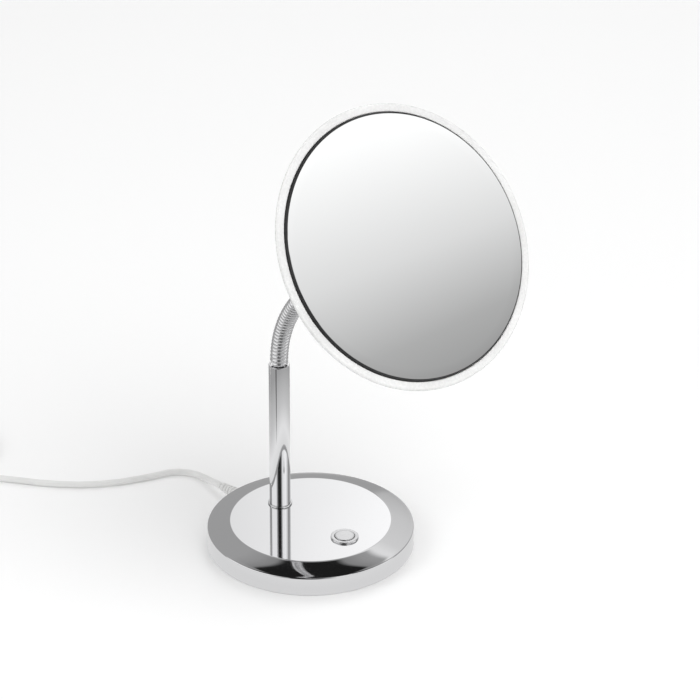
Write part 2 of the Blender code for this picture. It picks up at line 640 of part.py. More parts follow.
SHOULDER = 0.0036               # the body stops this far below a joint, where the ball starts
LIP = 0.0016                    # a socket reaches this far below its joint
BALL_TOP = 0.0036               # the ball is cut off this far above its joint
SOCKET_RADIUS = NECK_BALL + GAP
LEAD_FLARE = 0.0030             # the bore opens to this in the ball's top


def ball_end(walk):
    """Outer shoulder, ball and flared bore of a link's upper end, from outside in."""
    joint = neck_frame(walk)
    rings = [(joint @ Matrix.Translation((0, 0, -SHOULDER)), NECK_RADIUS)]
    rings += ball_rings(walk, -SHOULDER, BALL_TOP, 4, NECK_BALL)
    rings.append((joint @ Matrix.Translation((0, 0, BALL_TOP)), LEAD_FLARE))
    rings.append((joint, NECK_BORE))
    return rings


def socket_end(walk):
    """Bore, hollow ball seat and lip of a link's lower end, from inside out."""
    joint = neck_frame(walk)
    roof = math.sqrt(SOCKET_RADIUS ** 2 - NECK_BORE ** 2)
    rings = ball_rings(walk, roof, -LIP, 4, SOCKET_RADIUS)
    rings.append((joint @ Matrix.Translation((0, 0, -LIP)), NECK_RADIUS))
    return rings


def make_neck():
    foot = Matrix.Translation(STEM_FOOT)
    plug = STEM_BORE - GAP
    lower = neck_frame(JOINT_WALK[0])
    level = foot @ Matrix.Translation((0, 0, STEM_TOP + GAP))
    rings = [(foot @ Matrix.Translation((0, 0, STEM_TOP - 0.020)), plug),
             (level, plug), (level, NECK_RADIUS)]
    rings += ball_end(JOINT_WALK[0])
    rings.append((foot @ Matrix.Translation((0, 0, STEM_TOP - 0.020)), NECK_BORE))
    ring_solid("neck_lower_fitting", rings, chrome(), lower, None)
    parent = None
    for k in range(NECK_JOINTS - 1):
        start, end = JOINT_WALK[k], JOINT_WALK[k + 1]
        inner = [neck_frame(start + (end - start) * share) for share in (0.70, 0.35)]
        rings = [(frame, NECK_RADIUS) for frame in reversed(inner)]
        rings += ball_end(end)
        rings += [(frame, NECK_BORE) for frame in inner]
        rings += socket_end(start)
        pivot = neck_frame(start)
        place = pivot if parent is None else parent.matrix_world.inverted() @ pivot
        joint = add_empty("neck_joint_%d" % (k + 1), place, parent)
        bpy.context.view_layer.update()
        ring_solid("neck_link_%d" % (k + 1), rings, chrome(), pivot, joint)
        lead = [neck_frame(start + GAP + (end - start - 2 * GAP) * share / 4).translation
                for share in range(5)]
        lead_run("lamp_lead_%d" % (k + 1), lead, joint)
        parent = joint
    pivot = neck_frame(JOINT_WALK[-1])
    joint = add_empty("head_joint", parent.matrix_world.inverted() @ pivot, parent)
    bpy.context.view_layer.update()
    return joint


def lead_run(name, points, parent):
    """A length of the lamp lead, given in world coordinates, under its body's joint."""
    home = Matrix() if parent is None else parent.matrix_world.inverted()
    placed = [home @ Vector(point) for point in points]
    return round_run(name, placed, LEAD_RADIUS, white_plastic(), 1, parent)


def make_stem_lead():
    z = 0.0071
    top = JOINT_WALK[0]
    run = [(-0.0195, 0.0140, 0.0104), (-0.0150, 0.0142, 0.0085), (-0.0100, 0.0148, z), (-0.0056, 0.0175, z),
           (-0.0040, 0.0225, z), (-0.0030, 0.0275, z), (-0.0012, 0.0318, 0.0088), (0, STEM_Y, 0.0130),
           (0, STEM_Y, 0.0180), (0, STEM_Y, 0.0400), (0, STEM_Y, 0.0800), (0, STEM_Y, 0.1180),
           (0, STEM_Y, 0.1360)]
    run += [tuple(neck_frame(walk).translation) for walk in (0.0010, top - GAP)]
    lead_run("lamp_lead_stem", smooth_points(run, 0.0040), None)


# ---------------------------------------------------------------- head
def dome_height(radius):
    """Height of the rear shell's outer side at a radius: flat for the neck, then curved."""
    share = (radius - HOUSING_FLAT_RADIUS) / (HOUSING_SHOULDER_RADIUS - HOUSING_FLAT_RADIUS)
    return HOUSING_BACK_Z + (HOUSING_SHOULDER_Z - HOUSING_BACK_Z) * share ** 2


def head_profile_outer():
    """Outer line of the domed rear shell, from its rim to the flat for the neck."""
    line = [(HOUSING_RIM_RADIUS, RING_BACK_Z - GAP), (HOUSING_RIM_RADIUS - 0.0008, RING_BACK_Z - 0.0018),
            (HOUSING_SHOULDER_RADIUS, HOUSING_SHOULDER_Z)]
    steps = 5
    for k in range(1, steps + 1):
        share = 1 - k / steps
        radius = HOUSING_FLAT_RADIUS + (HOUSING_SHOULDER_RADIUS - HOUSING_FLAT_RADIUS) * share
        line.append((radius, dome_height(radius)))
    return line


CARRIER_POST_CIRCLE = 0.0700
CARRIER_POST_RADIUS = 0.0040
CARRIER_POSTS = [Matrix.Rotation(math.radians(turn), 2) @ Vector((CARRIER_POST_CIRCLE, 0))
                 for turn in (90, 210, 330)]
CARRIER_SCREW_RADIUS = 0.0014


def make_housing(head):
    outer = head_profile_outer()
    inner = [(radius - (0.0016 if k < 2 else 0.0010 if k == 2 else 0),
              height + (0 if k == 0 else HOUSING_WALL))
             for k, (radius, height) in enumerate(outer)]
    inner[0] = (HOUSING_RIM_RADIUS - HOUSING_WALL, RING_BACK_Z - GAP)
    inner[1] = (HOUSING_RIM_RADIUS - HOUSING_WALL - 0.0004, RING_BACK_Z - 0.0012)
    bore = STUD_RADIUS + GAP
    profile = outer + [(bore, HOUSING_BACK_Z), (bore, HOUSING_BACK_Z + HOUSING_WALL)] + inner[::-1]
    shell = lathe("head_housing", profile, chrome(), 44, parent=head)
    wall_foot = (dome_height(CARRIER_POST_CIRCLE - CARRIER_POST_RADIUS)
                 + dome_height(CARRIER_POST_CIRCLE + CARRIER_POST_RADIUS) + HOUSING_WALL) / 2
    for k, centre in enumerate(CARRIER_POSTS):
        add_round(shell, "carrier_post_%d" % (k + 1), CARRIER_POST_RADIUS, wall_foot, CARRIER_FLOOR_Z - GAP,
                  centre, 16, head)
        cut_round(shell, "carrier_post_bore_%d" % (k + 1),
                  CARRIER_SCREW_RADIUS + GAP, CARRIER_FLOOR_Z - 0.0050,
                  0, centre, 12, head)


def make_light_ring(head):
    seat_edge = SEAL_OUTER_RADIUS + GAP
    lathe("light_ring", [
        (RING_INNER_RADIUS, RING_BACK_Z), (RING_INNER_RADIUS, RING_SEAT_Z), (seat_edge, RING_SEAT_Z),
        (seat_edge, RING_CROWN_Z - 0.0006), (seat_edge + 0.0012, RING_CROWN_Z),
        (RING_RADIUS - 0.0022, RING_CROWN_Z), (RING_RADIUS - 0.0007, RING_CROWN_Z - 0.0005),
        (RING_RADIUS, RING_EDGE_Z), (HOUSING_RIM_RADIUS, RING_BACK_Z),
    ], opal_acrylic(), 56, parent=head)


def make_glass(head):
    """Slumped glass of one thickness: the front is hollow and the back stands out."""
    steps = 4
    front = []
    for k in range(steps + 1):
        radius = GLASS_RADIUS * k / steps
        front.append((radius, GLASS_EDGE_Z - (GLASS_RADIUS ** 2 - radius ** 2) / (2 * GLASS_CURVE)))
    back = [(radius, height - GLASS_THICKNESS) for radius, height in front]
    lathe("mirror_glass", front + back[::-1], silvered_glass(), 48, parent=head)
    glass_back = GLASS_EDGE_Z - GLASS_THICKNESS
    seal_low = RING_SEAT_Z + GAP
    lathe("glass_seal", [
        (SEAL_INNER_RADIUS - 0.0040, seal_low), (SEAL_OUTER_RADIUS, seal_low),
        (SEAL_OUTER_RADIUS, GLASS_EDGE_Z - 0.0001), (SEAL_INNER_RADIUS, GLASS_EDGE_Z - 0.0001),
        (SEAL_INNER_RADIUS, glass_back - GAP), (GLASS_RADIUS - 0.0010, glass_back - GAP - 0.0002),
        (SEAL_INNER_RADIUS - 0.0040, glass_back - GAP - 0.0006)], black_rubber(), 48, parent=head)


def make_carrier(head):
    rim_top = -0.0036
    lathe("mirror_carrier", [
        (0.0120, CARRIER_FLOOR_Z), (CARRIER_RADIUS, CARRIER_FLOOR_Z), (CARRIER_RADIUS, rim_top),
        (CARRIER_RADIUS - CARRIER_WALL, rim_top), (CARRIER_RADIUS - CARRIER_WALL, CARRIER_FLOOR_Z + 0.0020),
        (0.0120, CARRIER_FLOOR_Z + 0.0020)], white_plastic(), 40, parent=head)
    carrier = bpy.data.objects["mirror_carrier"]
    for k, centre in enumerate(CARRIER_POSTS):
        cut_round(carrier, "carrier_hole_%d" % (k + 1), CARRIER_SCREW_RADIUS + GAP, -0.020, 0,
                  centre, 12, head)
        pan_screw("carrier_screw_%d" % (k + 1), 0.0028, 0.0014, CARRIER_SCREW_RADIUS, 0.0062,
                  (*centre, CARRIER_FLOOR_Z + 0.0020 + GAP), head)
    inner = CARRIER_RADIUS + GAP
    strip_top = rim_top - GAP
    lathe("led_strip", disc_profile(inner + STRIP_THICKNESS, strip_top - STRIP_HEIGHT, strip_top, inner),
          white_plastic(), 48, parent=head)


def make_head_fixing(head):
    """Flanged fitting on the neck's upper end, with its stud, washer and nut inside the head."""
    pivot = neck_frame(JOINT_WALK[-1])
    centre = head.matrix_world

    def ring(height, radius):
        return centre @ Matrix.Translation((0, 0, height)), radius

    flange = HOUSING_BACK_Z - GAP
    rings = [ring(-HEAD_BACK + 0.0040, NECK_RADIUS + 0.0003), ring(-HEAD_BACK + 0.0055, 0.0080),
             ring(-HEAD_BACK + 0.0110, 0.0080), ring(flange - 0.0030, 0.0110), ring(flange - 0.0020, 0.0150),
             ring(flange, 0.0150), ring(flange, STUD_RADIUS), ring(-0.0195, STUD_RADIUS),
             ring(-0.0195, NECK_BORE), ring(-HEAD_BACK + 0.0110, NECK_BORE)]
    rings += socket_end(JOINT_WALK[-1])
    ring_solid("neck_upper_fitting", rings, chrome(), pivot, head)
    inside = HOUSING_BACK_Z + HOUSING_WALL + GAP
    lathe("head_washer", disc_profile(0.0110, inside, inside + 0.0010, STUD_RADIUS + GAP), zinc_steel(), 24,
          parent=head)
    hex_nut("head_nut", 0.0090, STUD_RADIUS + GAP, inside + 0.0010 + GAP, inside + 0.0042, Matrix(), head)
    run = [(0, 0, -HEAD_BACK + GAP), (0, 0, -0.0400), (0, 0, -0.0260), (0, 0, -0.0190), (0, -0.0020, -0.0163),
           (0, -0.0080, -0.0155), (0, -0.0400, -0.0152), (0, -0.0700, -0.0150), (0, -0.0860, -0.0143)]
    lead_run("lamp_lead_head", [centre @ p for p in smooth_points(run, 0.0050)], head)


def make_head(joint):
    turn = Matrix((SIDEWAYS, HEAD_AXIS.cross(SIDEWAYS), HEAD_AXIS)).transposed().to_4x4()
    place = Matrix.Translation(HEAD_CENTRE) @ turn
    head = add_empty("head_frame", joint.matrix_world.inverted() @ place, joint)
    bpy.context.view_layer.update()
    make_housing(head)
    make_light_ring(head)
    make_glass(head)
    make_carrier(head)
    make_head_fixing(head)


# ---------------------------------------------------------------- cord, coil, tie and plug
def make_cord():
    round_run("mains_cord", smooth_points(CORD_ROUTE, 0.0100), CORD_RADIUS, white_plastic())
    half = COIL_ROOM * COIL_COLUMNS / 2
    edge = 0.0016
    low, high = COIL_LIFT, COIL_LIFT + COIL_ROOM * COIL_LAYERS
    place = Matrix.Translation((*COIL_CENTRE, 0))
    lathe("cord_coil", [
        (COIL_RADIUS - half, low + edge), (COIL_RADIUS - half + edge, low), (COIL_RADIUS + half - edge, low),
        (COIL_RADIUS + half, low + edge), (COIL_RADIUS + half, high - edge),
        (COIL_RADIUS + half - edge, high),
        (COIL_RADIUS - half + edge, high), (COIL_RADIUS - half, high - edge)], white_plastic(), 32, place)
    tie_turn = Matrix.Rotation(math.radians(TIE_ANGLE_DEG), 4, "Z")
    middle = Matrix.Translation((COIL_RADIUS, 0, (low + high) / 2))
    wide = half + 2 * GAP
    tall = (high - low) / 2 + 2 * GAP
    tie = block("cord_tie", (-wide - TIE_WALL, -TIE_WIDTH / 2, -tall - TIE_WALL),
                (wide + TIE_WALL, TIE_WIDTH / 2, tall + TIE_WALL), grey_plastic(), place @ tie_turn @ middle)
    window = block("tie_window", (-wide, -TIE_WIDTH, -tall), (wide, TIE_WIDTH, tall), grey_plastic(),
                   place @ tie_turn @ middle)
    shape_with(tie, window)


def make_plug():
    """Flat two-pin plug lying on the table beside the coil, its cord end towards the coil."""
    side = math.radians(PLUG_SIDE_DEG)
    outer_turn = COIL_RADIUS + COIL_ROOM * (COIL_COLUMNS - 1) / 2
    clear_of_coil = COIL_RADIUS + COIL_ROOM * COIL_COLUMNS / 2 + PLUG_NECK_RADIUS + GAP
    reach = math.sqrt(clear_of_coil ** 2 - outer_turn ** 2)
    cord_end = Vector((*COIL_CENTRE, PLUG_THICKNESS / 2))
    cord_end += Vector((math.cos(side), math.sin(side), 0)) * outer_turn
    cord_end += Vector((math.sin(side), -math.cos(side), 0)) * reach
    place = Matrix.Translation(cord_end) @ Matrix.Rotation(side - math.pi / 2, 4, "Z")
    neck = 0.0100
    half_wide = PLUG_WIDTH / 2
    half_thick = PLUG_THICKNESS / 2
    sections = [(0, PLUG_NECK_RADIUS, PLUG_NECK_RADIUS), (neck, 0.0040, 0.0040),
                (neck + 0.0030, half_wide * 0.62, half_thick * 0.80),
                (neck + 0.0120, half_wide, half_thick),
                (neck + PLUG_LENGTH - 0.0010, half_wide, half_thick),
                (neck + PLUG_LENGTH, half_wide - 0.0010, half_thick - 0.0010)]
    shape = bmesh.new()
    rings = [[shape.verts.new((0, 0, 0))]]
    corners = 16
    for along, wide, thick in sections:
        ring = []
        for k in range(corners):
            angle = 2 * math.pi * (k + 0.5) / corners
            across = math.copysign(abs(math.cos(angle)) ** 0.45, math.cos(angle))
            height = math.copysign(abs(math.sin(angle)) ** 0.45, math.sin(angle))
            ring.append(shape.verts.new((along, wide * across, thick * height)))
        rings.append(ring)
    rings.append([shape.verts.new((neck + PLUG_LENGTH, 0, 0))])
    for lower, upper in zip(rings, rings[1:]):
        bridge(shape, lower, upper)
    add_object("plug_body", shape, white_plastic(), place)
    face = neck + PLUG_LENGTH + GAP
    for k, side in enumerate((-1, 1)):
        lie_along = (Matrix.Translation((face, side * PIN_SPACING / 2, 0))
                     @ Matrix.Rotation(math.pi / 2, 4, "Y"))
        lathe("plug_pin_%d" % (k + 1), [(0, 0), (PIN_RADIUS, 0), (PIN_RADIUS, PIN_LENGTH - 0.0012),
                                        (PIN_RADIUS * 0.5, PIN_LENGTH), (0, PIN_LENGTH)], brass(), 16,
              place @ lie_along)


# ---------------------------------------------------------------- assembly
make_base_cover()
make_weight()
make_plate()
make_pad_and_screws()
make_stem()
make_button()
make_driver()
make_cord_entry()
make_stem_lead()
make_head(make_neck())
make_cord()
make_plug()
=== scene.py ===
"""The looks of a lighted make-up mirror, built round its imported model: chromed base with a push
button, stem, flexible neck, and a round head with a light ring."""
import json
import math

import bpy
from mathutils import Matrix, Vector

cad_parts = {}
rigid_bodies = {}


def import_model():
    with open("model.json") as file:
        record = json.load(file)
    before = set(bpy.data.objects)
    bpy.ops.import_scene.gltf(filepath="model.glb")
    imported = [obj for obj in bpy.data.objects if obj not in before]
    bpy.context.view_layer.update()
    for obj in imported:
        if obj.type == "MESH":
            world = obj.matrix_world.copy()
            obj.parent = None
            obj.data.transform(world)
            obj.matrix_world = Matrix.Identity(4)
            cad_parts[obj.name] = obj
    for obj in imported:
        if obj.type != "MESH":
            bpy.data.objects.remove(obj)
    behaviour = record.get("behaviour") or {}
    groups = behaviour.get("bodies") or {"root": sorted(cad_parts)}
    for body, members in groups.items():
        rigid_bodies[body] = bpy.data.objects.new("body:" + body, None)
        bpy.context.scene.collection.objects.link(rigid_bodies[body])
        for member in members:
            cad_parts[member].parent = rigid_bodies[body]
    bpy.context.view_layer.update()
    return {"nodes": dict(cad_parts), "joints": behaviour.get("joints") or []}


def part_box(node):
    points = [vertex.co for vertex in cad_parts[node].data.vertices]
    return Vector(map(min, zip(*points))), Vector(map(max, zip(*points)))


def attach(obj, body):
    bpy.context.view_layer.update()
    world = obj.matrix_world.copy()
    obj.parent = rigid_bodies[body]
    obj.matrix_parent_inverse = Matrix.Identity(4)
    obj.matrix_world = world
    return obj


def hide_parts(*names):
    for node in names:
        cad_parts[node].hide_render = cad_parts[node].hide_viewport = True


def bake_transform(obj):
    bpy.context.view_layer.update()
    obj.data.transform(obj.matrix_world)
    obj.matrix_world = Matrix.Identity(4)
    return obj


for leftover in list(bpy.data.objects):
    bpy.data.objects.remove(leftover, do_unlink=True)
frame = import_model()
joint_places = {joint["name"]: joint for joint in frame["joints"]}

# ---------------------------------------------------------------- camera
# A long lens from the front left, well above the mirror.
camera_azimuth = math.radians(-44.09)
camera_elevation = math.radians(29.06)
camera_distance = 3.7
camera_aim = Vector((-0.0072, -0.0507, 0.1910))
level_to_camera = Vector((math.sin(camera_azimuth), -math.cos(camera_azimuth), 0))
to_camera = level_to_camera * math.cos(camera_elevation) + Vector((0, 0, math.sin(camera_elevation)))
camera_right = Vector((0, 0, 1)).cross(level_to_camera)
bpy.ops.object.camera_add(location=camera_aim + to_camera * camera_distance,
                          rotation=to_camera.to_track_quat("Z", "Y").to_euler())
camera = bpy.context.object
camera.data.sensor_width = 36
camera.data.lens = 257.14
camera.data.clip_end = 30
bpy.context.scene.camera = camera
bpy.context.scene.view_settings.view_transform = "Standard"


# ---------------------------------------------------------------- floor, lamps and studio
# A pale table top under soft light. The polished metal reflects a studio of its own: a pale room
# with a dark ceiling, white panels at both sides and behind, and a dark gap behind the camera.
def studio_direction(turn_deg, lift_deg):
    """A direction from the object, turned from the camera's side towards the camera's right."""
    turn, lift = math.radians(turn_deg), math.radians(lift_deg)
    level = level_to_camera * math.cos(turn) + camera_right * math.sin(turn)
    return level * math.cos(lift) + Vector((0, 0, math.sin(lift)))


bpy.ops.mesh.primitive_plane_add(size=16, location=(0, 0, 0))
floor = bpy.context.object
floor.name = "table_top"
floor_look = bpy.data.materials.new("table_top")
floor_look.use_nodes = True
floor_tree = floor_look.node_tree
floor_tree.nodes.clear()


def stage_node(tree, kind, *in_order, **by_name):
    """Add a node to a stage material. Its sockets take values, or other nodes' outputs."""
    node = tree.nodes.new(kind)
    for socket, value in [*enumerate(in_order), *by_name.items()]:
        if isinstance(value, bpy.types.NodeSocket):
            tree.links.new(value, node.inputs[socket])
        else:
            node.inputs[socket].default_value = value
    return node


def grey_ramp(tree, value, *stops):
    """A ramp of greys through (position, grey) stops, on a stage material."""
    ramp = stage_node(tree, "ShaderNodeValToRGB", Fac=value)
    points = ramp.color_ramp.elements
    while len(points) < len(stops):
        points.new(0.5)
    for point, (position, grey) in zip(points, stops):
        point.position = position
        point.color = (grey, grey, grey, 1)
    return ramp.outputs["Color"]


pale = stage_node(floor_tree, "ShaderNodeBsdfDiffuse", Color=(0.86, 0.86, 0.86, 1)).outputs[0]
lift = stage_node(floor_tree, "ShaderNodeEmission", Color=(1, 1, 1, 1), Strength=0.12).outputs[0]
seen = stage_node(floor_tree, "ShaderNodeAddShader", pale, lift).outputs[0]
spot = stage_node(floor_tree, "ShaderNodeTexCoord").outputs["Object"]
reach = stage_node(floor_tree, "ShaderNodeVectorMath", spot)
reach.operation = "LENGTH"
half_metres_out = stage_node(floor_tree, "ShaderNodeMath", reach.outputs["Value"], 2.0)
half_metres_out.operation = "MULTIPLY"
# Painted shade: in polished metal the table top glows with given tones instead of its lit colour, dimmer
# beside the base, brightest a little way out, and darker further away.
painted_shade_floor_tone = grey_ramp(floor_tree, half_metres_out.outputs[0],
                       (0.18, 0.74), (0.27, 0.86), (0.36, 0.62), (0.54, 0.38))
floor_painted_glow = stage_node(floor_tree, "ShaderNodeEmission", Color=painted_shade_floor_tone, Strength=1.0).outputs[0]
ray = stage_node(floor_tree, "ShaderNodeLightPath")
floor_mix = stage_node(floor_tree, "ShaderNodeMixShader", ray.outputs["Is Glossy Ray"], seen, floor_painted_glow)
stage_node(floor_tree, "ShaderNodeOutputMaterial", Surface=floor_mix.outputs[0])
floor.data.materials.append(floor_look)

world = bpy.data.worlds.new("studio")
bpy.context.scene.world = world
world.use_nodes = True
world_tree = world.node_tree
world_tree.nodes.clear()
ray = stage_node(world_tree, "ShaderNodeLightPath")
towards = stage_node(world_tree, "ShaderNodeTexCoord").outputs["Generated"]
height = stage_node(world_tree, "ShaderNodeSeparateXYZ", Vector=towards).outputs["Z"]
room_tone = grey_ramp(world_tree, height,
                      (0.0, 0.37), (0.74, 0.36), (0.80, 0.31), (0.84, 0.24), (0.855, 0.012))
glossy_room = stage_node(world_tree, "ShaderNodeBackground", Color=room_tone, Strength=1.0).outputs[0]
soft_room = stage_node(world_tree, "ShaderNodeBackground", Color=(1, 1, 1, 1), Strength=0.62).outputs[0]
white_room = stage_node(world_tree, "ShaderNodeBackground", Color=(1, 1, 1, 1), Strength=1.0).outputs[0]
lit = stage_node(world_tree, "ShaderNodeMixShader", ray.outputs["Is Glossy Ray"], soft_room, glossy_room)
shown = stage_node(world_tree, "ShaderNodeMixShader", ray.outputs["Is Camera Ray"], lit.outputs[0],
                   white_room)
stage_node(world_tree, "ShaderNodeOutputWorld", Surface=shown.outputs[0])


def only_reflected(thing):
    """Show a thing of the studio to polished surfaces only."""
    thing.visible_camera = False
    thing.visible_diffuse = False
    thing.visible_shadow = False
    thing.visible_transmission = False


def studio_panel(name, turn_deg, lift_deg, wide_deg, tall_deg, tones, edge, roll_deg=0, along="Y"):
    """A soft-edged panel that only polished metal sees. Its tones run along its height or width."""
    distance = 2.2
    wide = 2 * distance * math.tan(math.radians(wide_deg / 2))
    tall = 2 * distance * math.tan(math.radians(tall_deg / 2))
    towards_panel = studio_direction(turn_deg, lift_deg)
    facing = towards_panel.to_track_quat("Z", "Y").to_matrix().to_4x4()
    bpy.ops.mesh.primitive_plane_add(size=1, location=(0, 0, 0))
    panel = bpy.context.object
    panel.name = name
    panel.matrix_world = (Matrix.Translation(Vector((0, 0, 0.1)) + towards_panel * distance) @ facing
                          @ Matrix.Rotation(math.radians(roll_deg), 4, "Z"))
    panel.scale = (wide, tall, 1)
    look = bpy.data.materials.new(name)
    look.use_nodes = True
    tree = look.node_tree
    tree.nodes.clear()
    across = stage_node(tree, "ShaderNodeTexCoord").outputs["Object"]
    parts = stage_node(tree, "ShaderNodeSeparateXYZ", Vector=across)
    inside = None
    for side in ("X", "Y"):
        size = stage_node(tree, "ShaderNodeMath", parts.outputs[side])
        size.operation = "ABSOLUTE"
        fade = stage_node(tree, "ShaderNodeMapRange", Value=size.outputs[0])
        fade.interpolation_type = "SMOOTHSTEP"
        fade.inputs["From Min"].default_value = 0.5
        fade.inputs["From Max"].default_value = 0.5 - edge / 2
        if inside is None:
            inside = fade.outputs[0]
        else:
            both = stage_node(tree, "ShaderNodeMath", inside, fade.outputs[0])
            both.operation = "MULTIPLY"
            inside = both.outputs[0]
    share = stage_node(tree, "ShaderNodeMath", parts.outputs[along], 0.5)
    tone = grey_ramp(tree, share.outputs[0], *tones)
    glow = stage_node(tree, "ShaderNodeEmission", Color=tone, Strength=1.0)
    clear = stage_node(tree, "ShaderNodeBsdfTransparent")
    mixed = stage_node(tree, "ShaderNodeMixShader", inside, clear.outputs[0], glow.outputs[0])
    stage_node(tree, "ShaderNodeOutputMaterial", Surface=mixed.outputs[0])
    panel.data.materials.append(look)
    only_reflected(panel)


behind_tones = [(0.0, 0.70), (0.30, 1.12), (0.70, 0.82), (1.0, 0.70)]
studio_panel("panel_behind", 180.5, 30, 15, 34, behind_tones, 0.24, along="X")
behind_right_tones = [(0.0, 0.38), (0.25, 0.50), (0.5, 0.62), (0.8, 0.68), (0.9, 0.80)]
studio_panel("panel_behind_right", 155, 22, 34, 56, behind_right_tones, 0.16)
scrim_tones = [(0.17, 1.15), (0.42, 1.08), (0.54, 0.76), (0.62, 0.45), (0.72, 0.26), (1.0, 0.20)]
studio_panel("scrim_right", 76, 31, 52, 52, scrim_tones, 0.08, roll_deg=-20)
studio_panel("panel_right", 38, 28, 24, 46, [(0.0, 1.0), (1.0, 1.0)], 0.15)
studio_panel("panel_left", -70, 28, 60, 46, [(0.0, 1.0), (1.0, 1.0)], 0.12)
studio_panel("dark_gap", -5, 29, 34, 60, [(0.0, 0.02), (1.0, 0.02)], 0.16)


def level_axes(direction):
    """Axes with X along a level direction and Z up."""
    up = Vector((0, 0, 1))
    return Matrix((direction, up.cross(direction), up)).transposed().to_4x4()


# A dark wedge lies on the table in front, to the left: polished metal shows it as a thin spike.
bpy.ops.mesh.primitive_circle_add(vertices=3, radius=1, fill_type="NGON", location=(0, 0, 0))
wedge = bpy.context.object
wedge.name = "dark_wedge"
wedge_length, wedge_width, wedge_starts = 0.150, 0.050, 0.135
wedge_away = studio_direction(-33, 0)
stem_low, stem_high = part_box("stem_tube")
wedge_apex = stem_low.lerp(stem_high, 0.5) + wedge_away * wedge_starts
wedge_apex.z = 0.0006
wedge.matrix_world = (Matrix.Translation(wedge_apex + wedge_away * wedge_length) @ level_axes(-wedge_away)
                      @ Matrix.Rotation(-math.pi / 2, 4, "Z")
                      @ Matrix.Diagonal((wedge_width, wedge_length, 1, 1)))
wedge_look = bpy.data.materials.new("dark_wedge")
wedge_look.use_nodes = True
wedge_look.node_tree.nodes.clear()
dark = stage_node(wedge_look.node_tree, "ShaderNodeEmission", (0.10, 0.10, 0.10, 1), 1.0)
stage_node(wedge_look.node_tree, "ShaderNodeOutputMaterial", Surface=dark.outputs[0])
wedge.data.materials.append(wedge_look)
only_reflected(wedge)

lamp_settings = [("key_lamp", 40, 52, 1.8, 13.0), ("fill_lamp", -70, 35, 2.2, 7.0),
                 ("rear_lamp", 170, 48, 2.0, 6.0)]
for lamp_name, turn_deg, lift_deg, distance, power in lamp_settings:
    lamp_towards = studio_direction(turn_deg, lift_deg)
    bpy.ops.object.light_add(type="AREA", location=lamp_towards * distance + Vector((0, 0, 0.15)),
                             rotation=lamp_towards.to_track_quat("Z", "Y").to_euler())
    lamp = bpy.context.object
    lamp.name = lamp_name
    lamp.data.shape = "DISK"
    lamp.data.size = 1.0
    lamp.data.energy = power
    lamp.visible_glossy = False


# ---------------------------------------------------------------- mains cord
# Round white flex, 5 mm thick: out of the base, over the table, and wound up beside it, with its
# plug at the end. The coil lies four turns wide and two high.
cord_radius = 0.0025
cord_route = [
    (0.0000, 0.1000, 0.0071), (0.0004, 0.1060, 0.0066), (0.0016, 0.1140, 0.0051),
    (0.0030, 0.1225, 0.0036), (0.0031, 0.1305, 0.0029), (0.0006, 0.1381, 0.0027),
    (-0.0040, 0.1447, 0.0027), (-0.0112, 0.1501, 0.0027), (-0.0214, 0.1535, 0.0027),
    (-0.0340, 0.1588, 0.0027), (-0.0477, 0.1654, 0.0027), (-0.0610, 0.1740, 0.0027),
    (-0.0732, 0.1842, 0.0027), (-0.0839, 0.1956, 0.0027), (-0.0936, 0.2080, 0.0027),
    (-0.1023, 0.2215, 0.0027), (-0.1116, 0.2352, 0.0027), (-0.1200, 0.2460, 0.0030),
    (-0.1269, 0.2557, 0.0037), (-0.1325, 0.2634, 0.0041),
]
coil_low, coil_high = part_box("cord_coil")
coil_middle = (coil_low + coil_high) / 2
coil_turn_radius = 0.0300
coil_room = 0.0052
coil_columns = 4
coil_enters = math.radians(215.6)
coil_leaves = math.radians(125.6)
turns = 2 * coil_columns - 1 + (coil_enters - coil_leaves) / (2 * math.pi)
quarter = math.pi / 2


def coil_slot(number):
    """Radius and height of a turn: inwards along the table, then outwards on top."""
    column = number if number < coil_columns else 2 * coil_columns - 1 - number
    radius = coil_turn_radius + coil_room * ((coil_columns - 1) / 2 - column)
    height = coil_low.z + coil_room * (0.5 if number < coil_columns else 1.5)
    return Vector((radius, height))


def coil_point(wound):
    """The cord's middle after winding through this angle, clockwise from above."""
    lap = int(wound // (2 * math.pi))
    rest = wound - lap * 2 * math.pi
    last_slot = 2 * coil_columns - 1
    innermost = coil_columns - 1
    moves_after = quarter * (2 if lap < innermost else 1.5 if lap == innermost else 1)
    share = min(max((rest - moves_after) / math.pi, 0.0), 1.0)
    share = share * share * (3 - 2 * share)
    place = coil_slot(min(lap, last_slot)).lerp(coil_slot(min(lap + 1, last_slot)), share)
    angle = coil_enters - wound
    return Vector((coil_middle.x + place.x * math.cos(angle), coil_middle.y + place.x * math.sin(angle),
                   place.y))


cord_points = [Vector(point) for point in cord_route]
coil_steps = round(turns * 36)
cord_points += [coil_point(turns * 2 * math.pi * k / coil_steps) for k in range(coil_steps + 1)]
leaving = Vector((math.sin(coil_leaves), -math.cos(coil_leaves), 0))
last_turn = cord_points[-1]
plug_low, plug_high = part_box("plug_body")
plug_neck_radius = 0.0034
coil_outside = coil_turn_radius + coil_room * coil_columns / 2
plug_reach = math.sqrt((coil_outside + plug_neck_radius + 0.0003) ** 2 - coil_slot(0).x ** 2)
plug_height = (plug_low.z + plug_high.z) / 2
for share, drop in ((0.25, 0.02), (0.45, 0.12), (0.65, 0.42), (0.82, 0.78), (1.0, 1.0)):
    cord_points.append(last_turn + leaving * plug_reach * share
                       + Vector((0, 0, (plug_height - last_turn.z) * drop)))

bpy.ops.curve.primitive_nurbs_path_add(location=(0, 0, 0))
cord = bpy.context.object
cord.name = "mains_cord_flex"
cord.data.splines.clear()
line = cord.data.splines.new("POLY")
line.points.add(len(cord_points) - 1)
for target, point in zip(line.points, cord_points):
    target.co = (*point, 1)
cord.data.bevel_depth = cord_radius
cord.data.bevel_resolution = 5
cord.data.use_fill_caps = True


